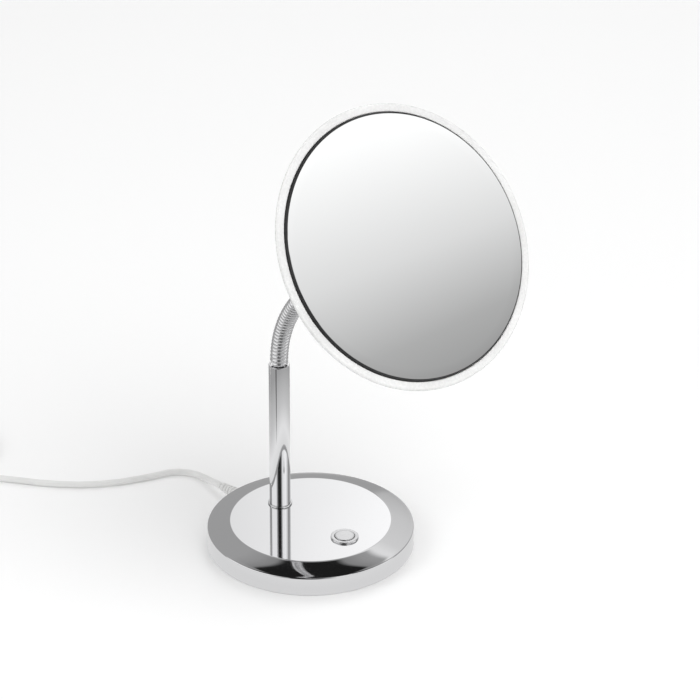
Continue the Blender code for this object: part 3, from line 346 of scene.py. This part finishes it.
class Surface:
    """A Principled material that varies by noises on the piece's own coordinates. A noise is given
    by its scale, detail and roughness."""

    def __init__(self, name, colour, roughness, metallic=0.0):
        self.made = bpy.data.materials.new(name)
        self.made.use_nodes = True
        self.tree = self.made.node_tree
        self.shader = self.tree.nodes["Principled BSDF"]
        self.where = self.tree.nodes.new("ShaderNodeTexCoord").outputs["Object"]
        self.set("Base Color", (*colour, 1))
        self.set("Roughness", roughness)
        self.set("Metallic", metallic)

    def set(self, socket, value):
        self.shader.inputs[socket].default_value = value

    def noise(self, scale, detail=3.0, roughness=0.5):
        node = self.tree.nodes.new("ShaderNodeTexNoise")
        node.inputs["Scale"].default_value = scale
        node.inputs["Detail"].default_value = detail
        node.inputs["Roughness"].default_value = roughness
        self.tree.links.new(self.where, node.inputs["Vector"])
        return node.outputs["Fac"]

    def vary(self, socket, low, high, *noise):
        """Move a socket with a noise, between two pairs of the noise's height and a value or colour."""
        node = self.tree.nodes.new("ShaderNodeValToRGB")
        for point, (position, value) in zip(node.color_ramp.elements, (low, high)):
            point.position = position
            point.color = (*value, 1) if isinstance(value, tuple) else (value, value, value, 1)
        self.tree.links.new(self.noise(*noise), node.inputs["Fac"])
        self.tree.links.new(node.outputs["Color"], self.shader.inputs[socket])

    def bump(self, distance, *noise):
        node = self.tree.nodes.new("ShaderNodeBump")
        node.inputs["Strength"].default_value = 1.0
        node.inputs["Distance"].default_value = distance
        self.tree.links.new(self.noise(*noise), node.inputs["Height"])
        self.tree.links.new(node.outputs["Normal"], self.shader.inputs["Normal"])

    def give(self, piece):
        piece.data.materials.clear()
        piece.data.materials.append(self.made)


white_flex = Surface("white_flex", (0.84, 0.84, 0.83), 0.38)
white_flex.vary("Base Color", (0.3, (0.80, 0.80, 0.79)), (0.7, (0.86, 0.86, 0.85)), 45)
white_flex.bump(0.00003, 1500, 2)
white_flex.set("Coat Weight", 0.12)
white_flex.give(cord)
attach(cord, "base")
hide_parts("mains_cord", "cord_coil")


# ---------------------------------------------------------------- base cover
# Steel pressing, polished and chromed: straight side wall, rolled edge, shallow shoulder and a flat
# top disc with holes for the stem and the button. The weight and the plate are screwed up into it.
def turned(name, outline, around=128, closed=True):
    """A turned piece: a ring is drawn, then extruded and resized from point to point of a
    (radius, height) outline. A closed outline meets itself, an open one is capped at both ends."""
    bpy.ops.object.select_all(action="DESELECT")
    bpy.ops.mesh.primitive_circle_add(vertices=around, radius=outline[0][0], location=(0, 0, 0),
                                      fill_type="NOTHING" if closed else "NGON")
    piece = bpy.context.object
    piece.name = name
    bpy.ops.object.mode_set(mode="EDIT")
    bpy.ops.mesh.select_all(action="SELECT")
    bpy.ops.transform.translate(value=(0, 0, outline[0][1]))
    stations = outline + outline[:1] if closed else outline
    for (radius, height), (next_radius, next_height) in zip(stations, stations[1:]):
        bpy.ops.mesh.extrude_region_move(TRANSFORM_OT_translate={"value": (0, 0, next_height - height)})
        change = next_radius / radius
        bpy.ops.transform.resize(value=(change, change, 1), center_override=(0, 0, 0))
    bpy.ops.mesh.select_all(action="SELECT")
    bpy.ops.mesh.remove_doubles(threshold=0.000001)
    bpy.ops.mesh.normals_make_consistent(inside=False)
    bpy.ops.object.mode_set(mode="OBJECT")
    return piece


def apply_all(piece):
    bpy.ops.object.select_all(action="DESELECT")
    piece.select_set(True)
    bpy.context.view_layer.objects.active = piece
    for modifier in list(piece.modifiers):
        bpy.ops.object.modifier_apply(modifier=modifier.name)


def finish_piece(piece, surface, slot, body, *stands_for, place=None, smooth_deg=32):
    """Put a piece in its place with its mesh, shade it, tie it to its body, and hide the CAD nodes it stands
    for.
    """
    bpy.ops.object.select_all(action="DESELECT")
    piece.select_set(True)
    bpy.context.view_layer.objects.active = piece
    if place is not None:
        piece.matrix_world = place
    bpy.ops.object.transform_apply(location=True, rotation=True, scale=True)
    bpy.ops.object.shade_smooth_by_angle(angle=math.radians(smooth_deg))
    surface.give(piece)
    if body is not None:
        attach(piece, body)
    if stands_for:
        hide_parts(*stands_for)
    return piece


def arc(middle_radius, middle_height, bend, start_deg, end_deg, steps=6):
    """Points of a round stretch in an outline. 0 degrees points outwards and 90 degrees up."""
    points = []
    for k in range(steps + 1):
        angle = math.radians(start_deg + (end_deg - start_deg) * k / steps)
        points.append((middle_radius + bend * math.cos(angle), middle_height + bend * math.sin(angle)))
    return points


def cut_out(piece, radius, centre, low, high):
    """Drill a round hole down through a piece."""
    bpy.ops.mesh.primitive_cylinder_add(vertices=64, radius=radius, depth=high - low,
                                        location=(*centre, (low + high) / 2))
    drill = bpy.context.object
    hole = piece.modifiers.new("hole", "BOOLEAN")
    hole.operation = "DIFFERENCE"
    hole.solver = "EXACT"
    hole.object = drill
    apply_all(piece)
    bpy.data.objects.remove(drill, do_unlink=True)


def chrome_plate(name, tint=(0.87, 0.87, 0.88), smear=(0.035, 0.075), wave=0.0000015):
    """Bright chrome: nearly a mirror, with faint wipe marks and the slight waviness of a pressing."""
    surface = Surface(name, tint, smear[0], 1.0)
    surface.vary("Roughness", (0.35, smear[0]), (0.75, smear[1]), 28, 5, 0.6)
    surface.vary("Base Color", (0.3, tuple(0.975 * c for c in tint)), (0.7, tint), 9, 2)
    surface.bump(wave, 55, 2)
    return surface


base_radius = 0.0790
disc_radius = 0.0617
disc_height = 0.0203
side_height = 0.0156
edge_bend = 0.0012
cover_wall = 0.0014
cover_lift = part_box("base_cover")[0].z
shoulder_rise = disc_height - side_height
shoulder_run = base_radius - edge_bend - disc_radius
cover_outline = [(0.0050, disc_height), (0.0400, disc_height), (disc_radius - 0.0004, disc_height)]
shoulder_steps = 12
for k in range(shoulder_steps + 1):
    share = k / shoulder_steps
    drop = shoulder_rise * (0.9 * share + 0.1 * share ** 4)
    cover_outline.append((disc_radius + shoulder_run * share, disc_height - drop))
cover_outline += arc(base_radius - edge_bend, side_height - edge_bend, edge_bend, 68, 0, 7)
cover_outline += [(base_radius, 0.0080), (base_radius, cover_lift + 0.0003),
                  (base_radius - 0.0003, cover_lift),
                  (base_radius - cover_wall + 0.0002, cover_lift),
                  (base_radius - cover_wall, cover_lift + 0.0002),
                  (base_radius - cover_wall, side_height - cover_wall),
                  (disc_radius - 0.0009, disc_height - cover_wall), (0.0050, disc_height - cover_wall)]
stem_centre = ((stem_low.x + stem_high.x) / 2, (stem_low.y + stem_high.y) / 2)
stem_radius = (stem_high.x - stem_low.x) / 2
bezel_low, bezel_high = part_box("button_bezel")
button_centre = ((bezel_low.x + bezel_high.x) / 2, (bezel_low.y + bezel_high.y) / 2)
cover = turned("base_cover_shell", cover_outline, 192, closed=False)
stem_hole_radius = stem_radius + 0.0003
switch_hole_radius = 0.0090
drill_tip, drill_top = 0.010, 0.030
for hole_radius, hole_centre in ((stem_hole_radius, stem_centre), (switch_hole_radius, button_centre)):
    cut_out(cover, hole_radius, hole_centre, drill_tip, drill_top)
base_chrome = chrome_plate("base_chrome")
finish_piece(cover, base_chrome, "chrome", "base", "base_cover", smooth_deg=24)

# ---------------------------------------------------------------- foot pad
# Sheet of black foam rubber glued under the plate, with a ring pressed in near its rim for grip.
pad_low, pad_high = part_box("foot_pad")
pad_radius = (pad_high.x - pad_low.x) / 2
pad_top = pad_high.z
pad_outline = [(0.0050, 0), (pad_radius - 0.0120, 0), (pad_radius - 0.0115, 0.0004),
               (pad_radius - 0.0095, 0.0004), (pad_radius - 0.0090, 0), (pad_radius - 0.0003, 0),
               (pad_radius, 0.0003),
               (pad_radius, pad_top - 0.0002), (pad_radius - 0.0002, pad_top), (0.0050, pad_top)]
pad = turned("foot_pad_sheet", pad_outline, 144, closed=False)
rubber = Surface("foam_rubber", (0.022, 0.022, 0.023), 0.85)
rubber.vary("Base Color", (0.35, (0.012, 0.012, 0.012)), (0.7, (0.034, 0.034, 0.035)), 380, 4)
rubber.bump(0.00015, 1400, 3)
finish_piece(pad, rubber, "black_rubber", "base", "foot_pad")

# ---------------------------------------------------------------- stem and collar
# Drawn steel tube, polished and chromed, clamped in the base by a nut under the cover. A thin
# pressed ring hides the joint at its foot.
stem_top = stem_high.z
stem_wall = 0.0014
stem_outline = [(stem_radius, stem_low.z), (stem_radius, stem_top - 0.0500), (stem_radius, stem_top - 0.0005)]
stem_outline += arc(stem_radius - 0.0004, stem_top - 0.0004, 0.0004, 12, 90, 5)
stem_outline += [(stem_radius - stem_wall, stem_top), (stem_radius - stem_wall, stem_low.z)]
stem_place = Matrix.Translation((*stem_centre, 0))
tube = turned("stem_tube_drawn", stem_outline, 96)
stem_chrome = chrome_plate("stem_chrome", smear=(0.025, 0.06), wave=0.0000008)
finish_piece(tube, stem_chrome, "chrome", "base", "stem_tube", place=stem_place)
collar_low, collar_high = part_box("stem_collar")
collar_radius = (collar_high.x - collar_low.x) / 2
collar_outline = [(stem_radius + 0.0002, collar_low.z), (collar_radius, collar_low.z)]
collar_outline += arc(collar_radius - 0.0005, collar_high.z - 0.0005, 0.0005, 10, 90, 5)
collar_outline += [(stem_radius + 0.0002, collar_high.z)]
collar = turned("stem_collar_ring", collar_outline, 96)
finish_piece(collar, stem_chrome, "chrome", "base", "stem_collar", place=stem_place)

# ---------------------------------------------------------------- push button
# Turned bezel with a barrel screwed to the switch, and a slightly domed cap that sinks 2 mm when
# pressed. Both have a satin plate.
button_plate = chrome_plate("button_plate", tint=(0.80, 0.80, 0.81), smear=(0.20, 0.28))
button_place = Matrix.Translation((*button_centre, 0))
cap_low, cap_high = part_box("button_cap")
cap_radius = (cap_high.x - cap_low.x) / 2
bezel_radius = (bezel_high.x - bezel_low.x) / 2
bezel_inner = cap_radius + 0.0003
bezel_seat = disc_height + 0.0001
barrel_radius = bezel_inner + 0.0008
bezel_outline = [(bezel_inner, bezel_low.z), (barrel_radius, bezel_low.z), (barrel_radius, bezel_seat),
                 (bezel_radius, bezel_seat), (bezel_radius, bezel_seat + 0.0003),
                 (bezel_radius - 0.0001, bezel_high.z - 0.0008)]
bezel_outline += arc(bezel_radius - 0.0004, bezel_high.z - 0.0003, 0.0003, 30, 90, 4)
bezel_outline += arc(bezel_inner + 0.0002, bezel_high.z - 0.0002, 0.0002, 90, 180, 4)
bezel = turned("button_bezel_ring", bezel_outline, 96)
finish_piece(bezel, button_plate, "chrome", "base", "button_bezel", place=button_place)
cap_dome = 0.00012
cap_roof = disc_height + 0.0006
cap_wall = 0.0012
cap_outline = [(0.0006, cap_roof), (cap_radius - cap_wall, cap_roof), (cap_radius - cap_wall, cap_low.z),
               (cap_radius, cap_low.z + 0.0001)]
cap_outline += arc(cap_radius - 0.0003, cap_high.z - cap_dome - 0.0003, 0.0003, 0, 84, 5)
cap_steps = 8
for k in range(1, cap_steps + 1):
    reached = (cap_radius - 0.0004) * (1 - k / (cap_steps + 0.2))
    cap_outline.append((reached, cap_high.z - cap_dome * (reached / cap_radius) ** 2))
cap = turned("button_cap_plated", cap_outline, 96, closed=False)
finish_piece(cap, button_plate, "chrome", "button", "button_cap", place=button_place)

# ---------------------------------------------------------------- flexible neck
# Gooseneck: a chromed steel wire of round section wound close along the neck, so that it bends and
# stays. It is one winding, cut between the joints into one length for each link.
neck_joints = [joint_places[name] for name in ("neck_bend", "neck_side", "neck_bend_2", "neck_side_2",
                                               "neck_bend_3", "neck_side_3", "neck_bend_4")]
joint_points = [Vector(joint["pos_m"]) for joint in neck_joints]
sideways = Vector(neck_joints[0]["axis"]).normalized()
forward = sideways.cross(Vector((0, 0, 1)))
head_tilt = math.radians(35.2)
head_axis = forward * math.cos(head_tilt) + Vector((0, 0, math.sin(head_tilt)))
neck_start = Vector((*stem_centre, stem_top))
lower_pull = 0.0575
upper_pull = 0.0790
neck_past_joint = 0.0042
bpy.ops.curve.primitive_bezier_curve_add(location=(0, 0, 0))
neck_line = bpy.context.object
neck_line.data.dimensions = "3D"
neck_line.data.twist_mode = "MINIMUM"
neck_line.data.resolution_u = 96
bends = neck_line.data.splines[0].bezier_points
bends.add(1)
for bend, where, back, ahead in (
        (bends[0], neck_start, -Vector((0, 0, 0.01)), Vector((0, 0, lower_pull))),
        (bends[1], joint_points[-1], -head_axis * upper_pull, head_axis * 0.0014),
        (bends[2], joint_points[-1] + head_axis * neck_past_joint, -head_axis * 0.0014, head_axis * 0.0014)):
    bend.handle_left_type = "FREE"
    bend.handle_right_type = "FREE"
    bend.co = where
    bend.handle_left = where + back
    bend.handle_right = where + ahead
neck_length = neck_line.data.splines[0].calc_length()
wire_pitch = 0.0032
wire_groove = 0.0061
wire_crest = 0.0069
wire_points = 10
windings = round(neck_length / wire_pitch)
wire_pitch = neck_length / windings
bpy.ops.mesh.primitive_plane_add(size=0.001, location=(0, 0, 0))
gooseneck = bpy.context.object
gooseneck.name = "gooseneck"
bpy.ops.object.mode_set(mode="EDIT")
bpy.ops.mesh.select_all(action="SELECT")
bpy.ops.mesh.merge(type="CENTER")
bpy.ops.transform.translate(value=(wire_groove, 0, 0))
radius_before = wire_groove
for k in range(1, wire_points + 1):
    radius_now = wire_groove + (wire_crest - wire_groove) * math.sin(math.pi * k / wire_points) ** 0.75
    bpy.ops.mesh.extrude_region_move(
        TRANSFORM_OT_translate={"value": (radius_now - radius_before, 0, wire_pitch / wire_points)})
    radius_before = radius_now
bpy.ops.object.mode_set(mode="OBJECT")
winding = gooseneck.modifiers.new("winding", "SCREW")
winding.angle = 2 * math.pi
winding.screw_offset = wire_pitch
winding.iterations = windings
winding.steps = 28
winding.render_steps = 28
winding.use_merge_vertices = True
winding.merge_threshold = 0.00001
follow = gooseneck.modifiers.new("follow", "CURVE")
follow.object = neck_line
follow.deform_axis = "POS_Z"
apply_all(gooseneck)
bpy.data.objects.remove(neck_line, do_unlink=True)
bpy.ops.object.mode_set(mode="EDIT")
bpy.ops.mesh.select_all(action="SELECT")
bpy.ops.mesh.remove_doubles(threshold=0.00001)
bpy.ops.mesh.normals_make_consistent(inside=False)
bpy.ops.object.mode_set(mode="OBJECT")

wire_chrome = Surface("wire_chrome", (0.84, 0.84, 0.85), 0.2, 1.0)
wire_chrome.vary("Roughness", (0.3, 0.20), (0.7, 0.30), 300, 4)
wire_chrome.vary("Base Color", (0.3, (0.78, 0.78, 0.79)), (0.7, (0.88, 0.88, 0.89)), 120, 3)
wire_chrome.bump(0.00001, 1800, 2)
hidden_links = ["neck_lower_fitting"] + ["neck_link_%d" % k for k in range(1, 7)]
middles = [(a + b) / 2 for a, b in zip(joint_points, joint_points[1:])]
for k, joint_point in enumerate(joint_points):
    length = gooseneck.copy()
    length.data = gooseneck.data.copy()
    length.name = "gooseneck_length_%d" % (k + 1)
    bpy.context.scene.collection.objects.link(length)
    bpy.ops.object.select_all(action="DESELECT")
    length.select_set(True)
    bpy.context.view_layer.objects.active = length
    bpy.ops.object.mode_set(mode="EDIT")
    if k > 0:
        bpy.ops.mesh.select_all(action="SELECT")
        bpy.ops.mesh.bisect(plane_co=middles[k - 1], plane_no=joint_points[k] - joint_points[k - 1],
                            clear_inner=True, threshold=0.000001)
    if k < len(middles):
        bpy.ops.mesh.select_all(action="SELECT")
        bpy.ops.mesh.bisect(plane_co=middles[k], plane_no=joint_points[k + 1] - joint_points[k],
                            clear_outer=True, threshold=0.000001)
    bpy.ops.object.mode_set(mode="OBJECT")
    finish_piece(length, wire_chrome, "chrome", None, hidden_links[k], smooth_deg=60)
    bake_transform(length)
bpy.data.objects.remove(gooseneck, do_unlink=True)

# ---------------------------------------------------------------- neck's foot
# Turned brass plug, chromed: pressed into the tube's top, it closes the tube round the gooseneck.
foot_bore = 0.0050
foot_outline = [(foot_bore, stem_top - 0.0050), (stem_radius - stem_wall - 0.0002, stem_top - 0.0050),
                (stem_radius - stem_wall - 0.0002, stem_top - 0.0002), (foot_bore, stem_top - 0.0002)]
foot = turned("neck_foot", foot_outline, 96)
finish_piece(foot, stem_chrome, "chrome", "base", place=stem_place)

# ---------------------------------------------------------------- neck's fitting on the head
# Turned brass sleeve, chromed: the gooseneck's end is pressed into it, and its flange is drawn
# against the back of the head by the nut inside.
head_back = 0.0460
head_centre = joint_points[-1] + head_axis * head_back
head_turn = Matrix((sideways, head_axis.cross(sideways), head_axis)).transposed().to_4x4()
head_place = Matrix.Translation(head_centre) @ head_turn
housing_back = -0.0275
sleeve_radius = 0.0080
flange_radius = 0.0150
neck_bore = 0.0062
fitting_outline = [(neck_bore, -head_back + 0.0040), (sleeve_radius - 0.0006, -head_back + 0.0040)]
fitting_outline += arc(sleeve_radius - 0.0006, -head_back + 0.0046, 0.0006, -80, 0, 4)
fitting_outline += [(sleeve_radius, -head_back + 0.0070), (sleeve_radius - 0.0004, -head_back + 0.0074),
                    (sleeve_radius - 0.0004, -head_back + 0.0080), (sleeve_radius, -head_back + 0.0084)]
fitting_outline += arc(sleeve_radius + 0.0030, -head_back + 0.0125, 0.0030, 180, 112, 6)
fitting_outline += arc(flange_radius - 0.0007, housing_back - 0.0010, 0.0007, -70, 0, 4)
fitting_outline += [(flange_radius, housing_back - 0.0001), (neck_bore, housing_back - 0.0001)]
fitting = turned("neck_head_fitting", fitting_outline, 96)
finish_piece(fitting, stem_chrome, "chrome", "head", "neck_upper_fitting", place=head_place)

# ---------------------------------------------------------------- head shell
# Domed rear shell, moulded and chrome plated, with a rolled rim that the light ring seats on. Three
# posts inside it carry the mirror.
ring_back = -0.0077
shell_rim = 0.1023
shell_shoulder = 0.0977
shell_shoulder_z = -0.0142
shell_flat = 0.0180
shell_wall = 0.0018
dome = []
dome_steps = 22
for k in range(dome_steps + 1):
    share = 1 - k / dome_steps
    dome.append((shell_flat + (shell_shoulder - shell_flat) * share,
                 housing_back + (shell_shoulder_z - housing_back) * share ** 2))
shell_outline = [(shell_rim - shell_wall, ring_back - 0.0003), (shell_rim - 0.0007, ring_back - 0.0003)]
shell_outline += arc(shell_rim - 0.0007, ring_back - 0.0007, 0.0004, 60, -30, 4)
shell_outline += [(shell_rim - 0.0014, ring_back - 0.0024), (shell_rim - 0.0026, ring_back - 0.0040),
                  (shell_shoulder + 0.0010, shell_shoulder_z + 0.0012)]
shell_outline += dome + [(neck_bore, housing_back), (neck_bore, housing_back + shell_wall)]
shell_outline += [(radius - 0.0009 * (radius > 0.09), height + shell_wall) for radius, height in dome[::-1]]
shell_outline += [(shell_rim - shell_wall - 0.0012, ring_back - 0.0030)]
shell = turned("head_shell", shell_outline, 176)
shell_chrome = chrome_plate("shell_chrome", smear=(0.05, 0.10), wave=0.0000020)
finish_piece(shell, shell_chrome, "plated_plastic", "head", "head_housing", place=head_place, smooth_deg=40)

# ---------------------------------------------------------------- light ring
# Opal acrylic ring that glows evenly when the strip behind it is lit. Its front is flat with round
# corners, its skin is glossy, and it is clipped between the shell's rim and the mirror's carrier.
ring_radius = 0.1058
ring_inner = 0.0926
ring_seat = -0.0033
ring_crown = -0.0012
seal_outer = 0.0992
ring_corner = 0.0016
ring_outline = [(ring_inner, ring_back), (ring_inner, ring_seat), (seal_outer + 0.0003, ring_seat)]
ring_outline += arc(seal_outer + 0.0009, ring_crown - 0.0006, 0.0006, 180, 90, 4)
ring_outline += arc(ring_radius - ring_corner, ring_crown - ring_corner, ring_corner, 90, -35, 10)
ring_outline += arc(shell_rim - 0.0004, ring_back + 0.0006, 0.0006, -35, -90, 4)
ring = turned("light_ring_opal", ring_outline, 192)
opal = Surface("opal_acrylic", (0.86, 0.86, 0.855), 0.26)
# Painted shade: the grey patches in the base colour stand in for shade and reflections on the ring, not a
# tint of the acrylic.
opal.vary("Base Color", (0.3, (0.76, 0.76, 0.755)), (0.7, (0.88, 0.88, 0.875)), 16, 3)
opal.vary("Roughness", (0.3, 0.22), (0.7, 0.32), 500, 3)
opal.bump(0.00001, 2200, 2)
opal.set("Coat Weight", 0.6)
opal.set("Coat Roughness", 0.06)
finish_piece(ring, opal, "opal_acrylic", "head", "light_ring", place=head_place, smooth_deg=40)

# ---------------------------------------------------------------- mirror glass and its seal
# Slumped glass, silvered on the back: hollow to magnify, with a ground edge. A black rubber seal
# grips the edge and keeps it off the ring.
glass_radius = 0.0979
glass_edge = 0.0007
glass_thick = 0.0029
glass_curve = 0.750
glass_steps = 26
front = []
for k in range(glass_steps + 1):
    reached = glass_radius * (1 - 0.9965 * k / glass_steps)
    front.append((reached, glass_edge - (glass_radius ** 2 - reached ** 2) / (2 * glass_curve)))
grind = 0.0003
glass_back = glass_edge - glass_thick
glass_outline = [(radius, height - glass_thick) for radius, height in front[:0:-1]]
glass_outline += [(glass_radius - grind, glass_back), (glass_radius, glass_back + grind),
                  (glass_radius, glass_edge - grind), (glass_radius - grind, glass_edge)]
glass_outline += front[1:]
glass = turned("mirror_glass_silvered", glass_outline, 192, closed=False)
silvering = Surface("silvered_glass", (0.93, 0.935, 0.935), 0.0, 1.0)
silvering.vary("Base Color", (0.3, (0.925, 0.93, 0.93)), (0.7, (0.935, 0.94, 0.94)), 7, 2)
silvering.vary("Roughness", (0.4, 0.004), (0.8, 0.02), 16, 4)
finish_piece(glass, silvering, "mirror", "head", "mirror_glass", place=head_place, smooth_deg=40)
seal_inner = glass_radius - 0.0002
seal_outline = [(seal_inner, glass_edge - 0.0032), (seal_inner, glass_edge - 0.0005)]
seal_outline += arc(seal_inner + 0.0003, glass_edge - 0.0004, 0.0003, 180, 0, 6)
seal_outline += [(seal_outer - 0.0001, glass_edge - 0.0020), (seal_outer, ring_seat + 0.0004),
                 (seal_outer, ring_seat + 0.0001), (seal_inner - 0.0040, ring_seat + 0.0001),
                 (seal_inner - 0.0040, glass_edge - 0.0033)]
seal = turned("glass_seal_lip", seal_outline, 192)
seal_rubber = Surface("seal_rubber", (0.018, 0.018, 0.019), 0.48)
seal_rubber.vary("Roughness", (0.3, 0.42), (0.7, 0.56), 900, 3)
seal_rubber.bump(0.00002, 2400, 2)
finish_piece(seal, seal_rubber, "black_rubber", "head", "glass_seal", place=head_place, smooth_deg=40)

# ---------------------------------------------------------------- strain relief
# Soft white sleeve moulded on the cord: it snaps into the cover's wall and tapers along the cord,
# with rings cut in it so that it bends evenly.
def soften(piece, width, segments=3, angle_deg=30):
    """Round the edges that are sharper than an angle."""
    bevel = piece.modifiers.new("soft_edges", "BEVEL")
    bevel.width = width
    bevel.segments = segments
    bevel.limit_method = "ANGLE"
    bevel.angle_limit = math.radians(angle_deg)
    apply_all(piece)


relief_low, relief_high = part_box("strain_relief")
inlet_height = (relief_low.z + relief_high.z) / 2
wall_face = base_radius + 0.0002
relief_bore = cord_radius + 0.0002
relief_outline = [(relief_bore, relief_low.y), (0.0053, relief_low.y),
                  (0.0053, base_radius - cover_wall - 0.0004), (0.0038, base_radius - cover_wall - 0.0003),
                  (0.0038, wall_face), (0.0052, wall_face),
                  (0.0054, wall_face + 0.0002), (0.0054, wall_face + 0.0011), (0.0050, wall_face + 0.0016)]
rings_on_relief = 5
taper_start = wall_face + 0.0028
ring_room = (relief_high.y - 0.0010 - taper_start) / rings_on_relief
for k in range(rings_on_relief):
    girth = 0.0047 - 0.0013 * k / (rings_on_relief - 1)
    begins = taper_start + ring_room * k
    relief_outline += [(girth - 0.0007, begins), (girth - 0.0007, begins + 0.0008), (girth, begins + 0.0011),
                       (girth - 0.0001, begins + ring_room - 0.0003)]
relief_outline += [(0.0031, relief_high.y - 0.0006), (0.0029, relief_high.y), (relief_bore, relief_high.y)]
relief = turned("strain_relief_sleeve", relief_outline, 64)
soften(relief, 0.00012, 2, 40)
relief_place = Matrix.Translation((0, 0, inlet_height)) @ Matrix.Rotation(-math.pi / 2, 4, "X")
finish_piece(relief, white_flex, "white_cord", "base", "strain_relief", place=relief_place, smooth_deg=35)

# ---------------------------------------------------------------- plug
# Flat two-pin plug moulded on the cord in white plastic, with grooves cut in its neck so that it
# bends.

def soft_plastic(name, colour, roughness):
    """Moulded plastic: slightly mottled, with the fine grain of its tool."""
    surface = Surface(name, colour, roughness)
    surface.vary("Base Color", (0.3, tuple(0.96 * c for c in colour)), (0.7, colour), 60)
    surface.vary("Roughness", (0.3, roughness * 0.85), (0.7, roughness * 1.15), 220)
    surface.bump(0.00002, 2600, 2)
    return surface


white_moulding = soft_plastic("white_moulding", (0.86, 0.86, 0.85), 0.34)
plug_place = Matrix.Translation(cord_points[-1]) @ level_axes(leaving)
plug_wide = 0.0250
plug_thick = plug_high.z - plug_low.z
bpy.ops.object.select_all(action="DESELECT")
bpy.ops.mesh.primitive_circle_add(vertices=48, radius=1.0, fill_type="NGON", location=(0, 0, 0))
plug = bpy.context.object
plug.name = "plug_moulding"
bpy.ops.object.mode_set(mode="EDIT")
bpy.ops.mesh.select_all(action="SELECT")
plug_sections = [(0.0, 0.0030, 0.0030), (0.0004, 0.0034, 0.0034), (0.0030, 0.0034, 0.0034),
                 (0.0034, 0.0029, 0.0029), (0.0042, 0.0029, 0.0029), (0.0046, 0.0036, 0.0036),
                 (0.0072, 0.0037, 0.0037),
                 (0.0076, 0.0031, 0.0031), (0.0084, 0.0031, 0.0031), (0.0088, 0.0040, 0.0040),
                 (0.0104, 0.0046, 0.0042), (0.0125, 0.0074, 0.0053), (0.0160, 0.0100, 0.0060),
                 (0.0215, 0.0121, 0.0066), (0.0260, 0.0125, 0.00685), (0.0430, 0.0125, 0.00685),
                 (0.0439, 0.0124, 0.0067), (0.0444, 0.0120, 0.0063), (0.0445, 0.0115, 0.0058)]
along, wide, thick = 0.0, 1.0, 1.0
for next_along, next_wide, next_thick in plug_sections:
    if next_along > 0:
        bpy.ops.mesh.extrude_region_move(TRANSFORM_OT_translate={"value": (0, 0, next_along - along)})
    bpy.ops.transform.resize(value=(next_wide / wide, next_thick / thick, 1), center_override=(0, 0, 0))
    along, wide, thick = next_along, next_wide, next_thick
bpy.ops.mesh.select_all(action="SELECT")
bpy.ops.mesh.normals_make_consistent(inside=False)
bpy.ops.object.mode_set(mode="OBJECT")
squareness_starts, squareness_grows_over, soft_corner = 0.0104, 0.0100, 0.62
for vertex in plug.data.vertices:
    fullness = min(max((vertex.co.z - squareness_starts) / squareness_grows_over, 0.0), 1.0)
    flat = math.hypot(vertex.co.x / plug_wide * 2, vertex.co.y / plug_thick * 2)
    if fullness > 0 and flat > 0:
        angle = math.atan2(vertex.co.y / plug_thick, vertex.co.x / plug_wide)
        power = 1 + (soft_corner - 1) * fullness
        swell = 1 / (abs(math.cos(angle)) ** (2 / power) + abs(math.sin(angle)) ** (2 / power)) ** (power / 2)
        vertex.co.x *= swell
        vertex.co.y *= swell
lying_down = Matrix(((0, 0, 1, 0), (1, 0, 0, 0), (0, 1, 0, 0), (0, 0, 0, 1)))
finish_piece(plug, white_moulding, "white_plastic", "base", "plug_body",
             place=plug_place @ lying_down, smooth_deg=28)

# ---------------------------------------------------------------- pins and tie
# Turned brass pins, and the soft grey strap that holds the coil. The nuts are brass too, and the
# switch and the capacitor are of the strap's grey plastic.
bright_brass = Surface("turned_brass", (0.78, 0.60, 0.30), 0.24, 1.0)
bright_brass.vary("Base Color", (0.3, (0.66, 0.49, 0.22)), (0.7, (0.80, 0.62, 0.31)), 260, 4)
bright_brass.vary("Roughness", (0.3, 0.18), (0.7, 0.34), 600, 3)
bright_brass.bump(0.00001, 2200, 2)
nodes = frame["nodes"]
for name in ("plug_pin_1", "plug_pin_2", "stem_nut", "switch_nut", "head_nut"):
    bright_brass.give(nodes[name])
grey_moulding = soft_plastic("grey_moulding", (0.30, 0.31, 0.32), 0.5)
for name in ("cord_tie", "switch_body", "driver_capacitor"):
    grey_moulding.give(nodes[name])

# ---------------------------------------------------------------- pieces inside the base and the head
# Cast ballast, zinc-plated plate, screws and spring, the lamp's driver and its leads: none of them
# shows, and each keeps its plain working shape.
casting = Surface("raw_casting", (0.10, 0.10, 0.11), 0.75, 0.6)
casting.vary("Base Color", (0.3, (0.06, 0.06, 0.065)), (0.7, (0.15, 0.145, 0.14)), 180, 5)
casting.bump(0.0003, 700, 4)
zinc = Surface("zinc_plated_steel", (0.62, 0.62, 0.60), 0.34, 1.0)
zinc.vary("Base Color", (0.3, (0.52, 0.53, 0.54)), (0.7, (0.68, 0.67, 0.63)), 150, 4)
zinc.vary("Roughness", (0.3, 0.26), (0.7, 0.46), 400, 3)
ferrite = Surface("sintered_ferrite", (0.08, 0.08, 0.09), 0.6)
ferrite.vary("Base Color", (0.3, (0.05, 0.05, 0.06)), (0.7, (0.11, 0.11, 0.12)), 500, 3)
lacquer = Surface("board_lacquer", (0.03, 0.22, 0.10), 0.4)
lacquer.vary("Base Color", (0.45, (0.02, 0.17, 0.08)), (0.55, (0.04, 0.25, 0.12)), 240, 3)
for name, node in nodes.items():
    if name == "base_weight":
        casting.give(node)
    elif name in ("base_plate", "stem_washer", "head_washer", "button_spring") or "_screw_" in name:
        zinc.give(node)
    elif name == "driver_inductor":
        ferrite.give(node)
    elif name in ("driver_board", "led_strip"):
        lacquer.give(node)
    elif name in ("cord_clamp", "mirror_carrier"):
        white_moulding.give(node)
    elif name == "cord_tail" or name.startswith("lamp_lead"):
        white_flex.give(node)
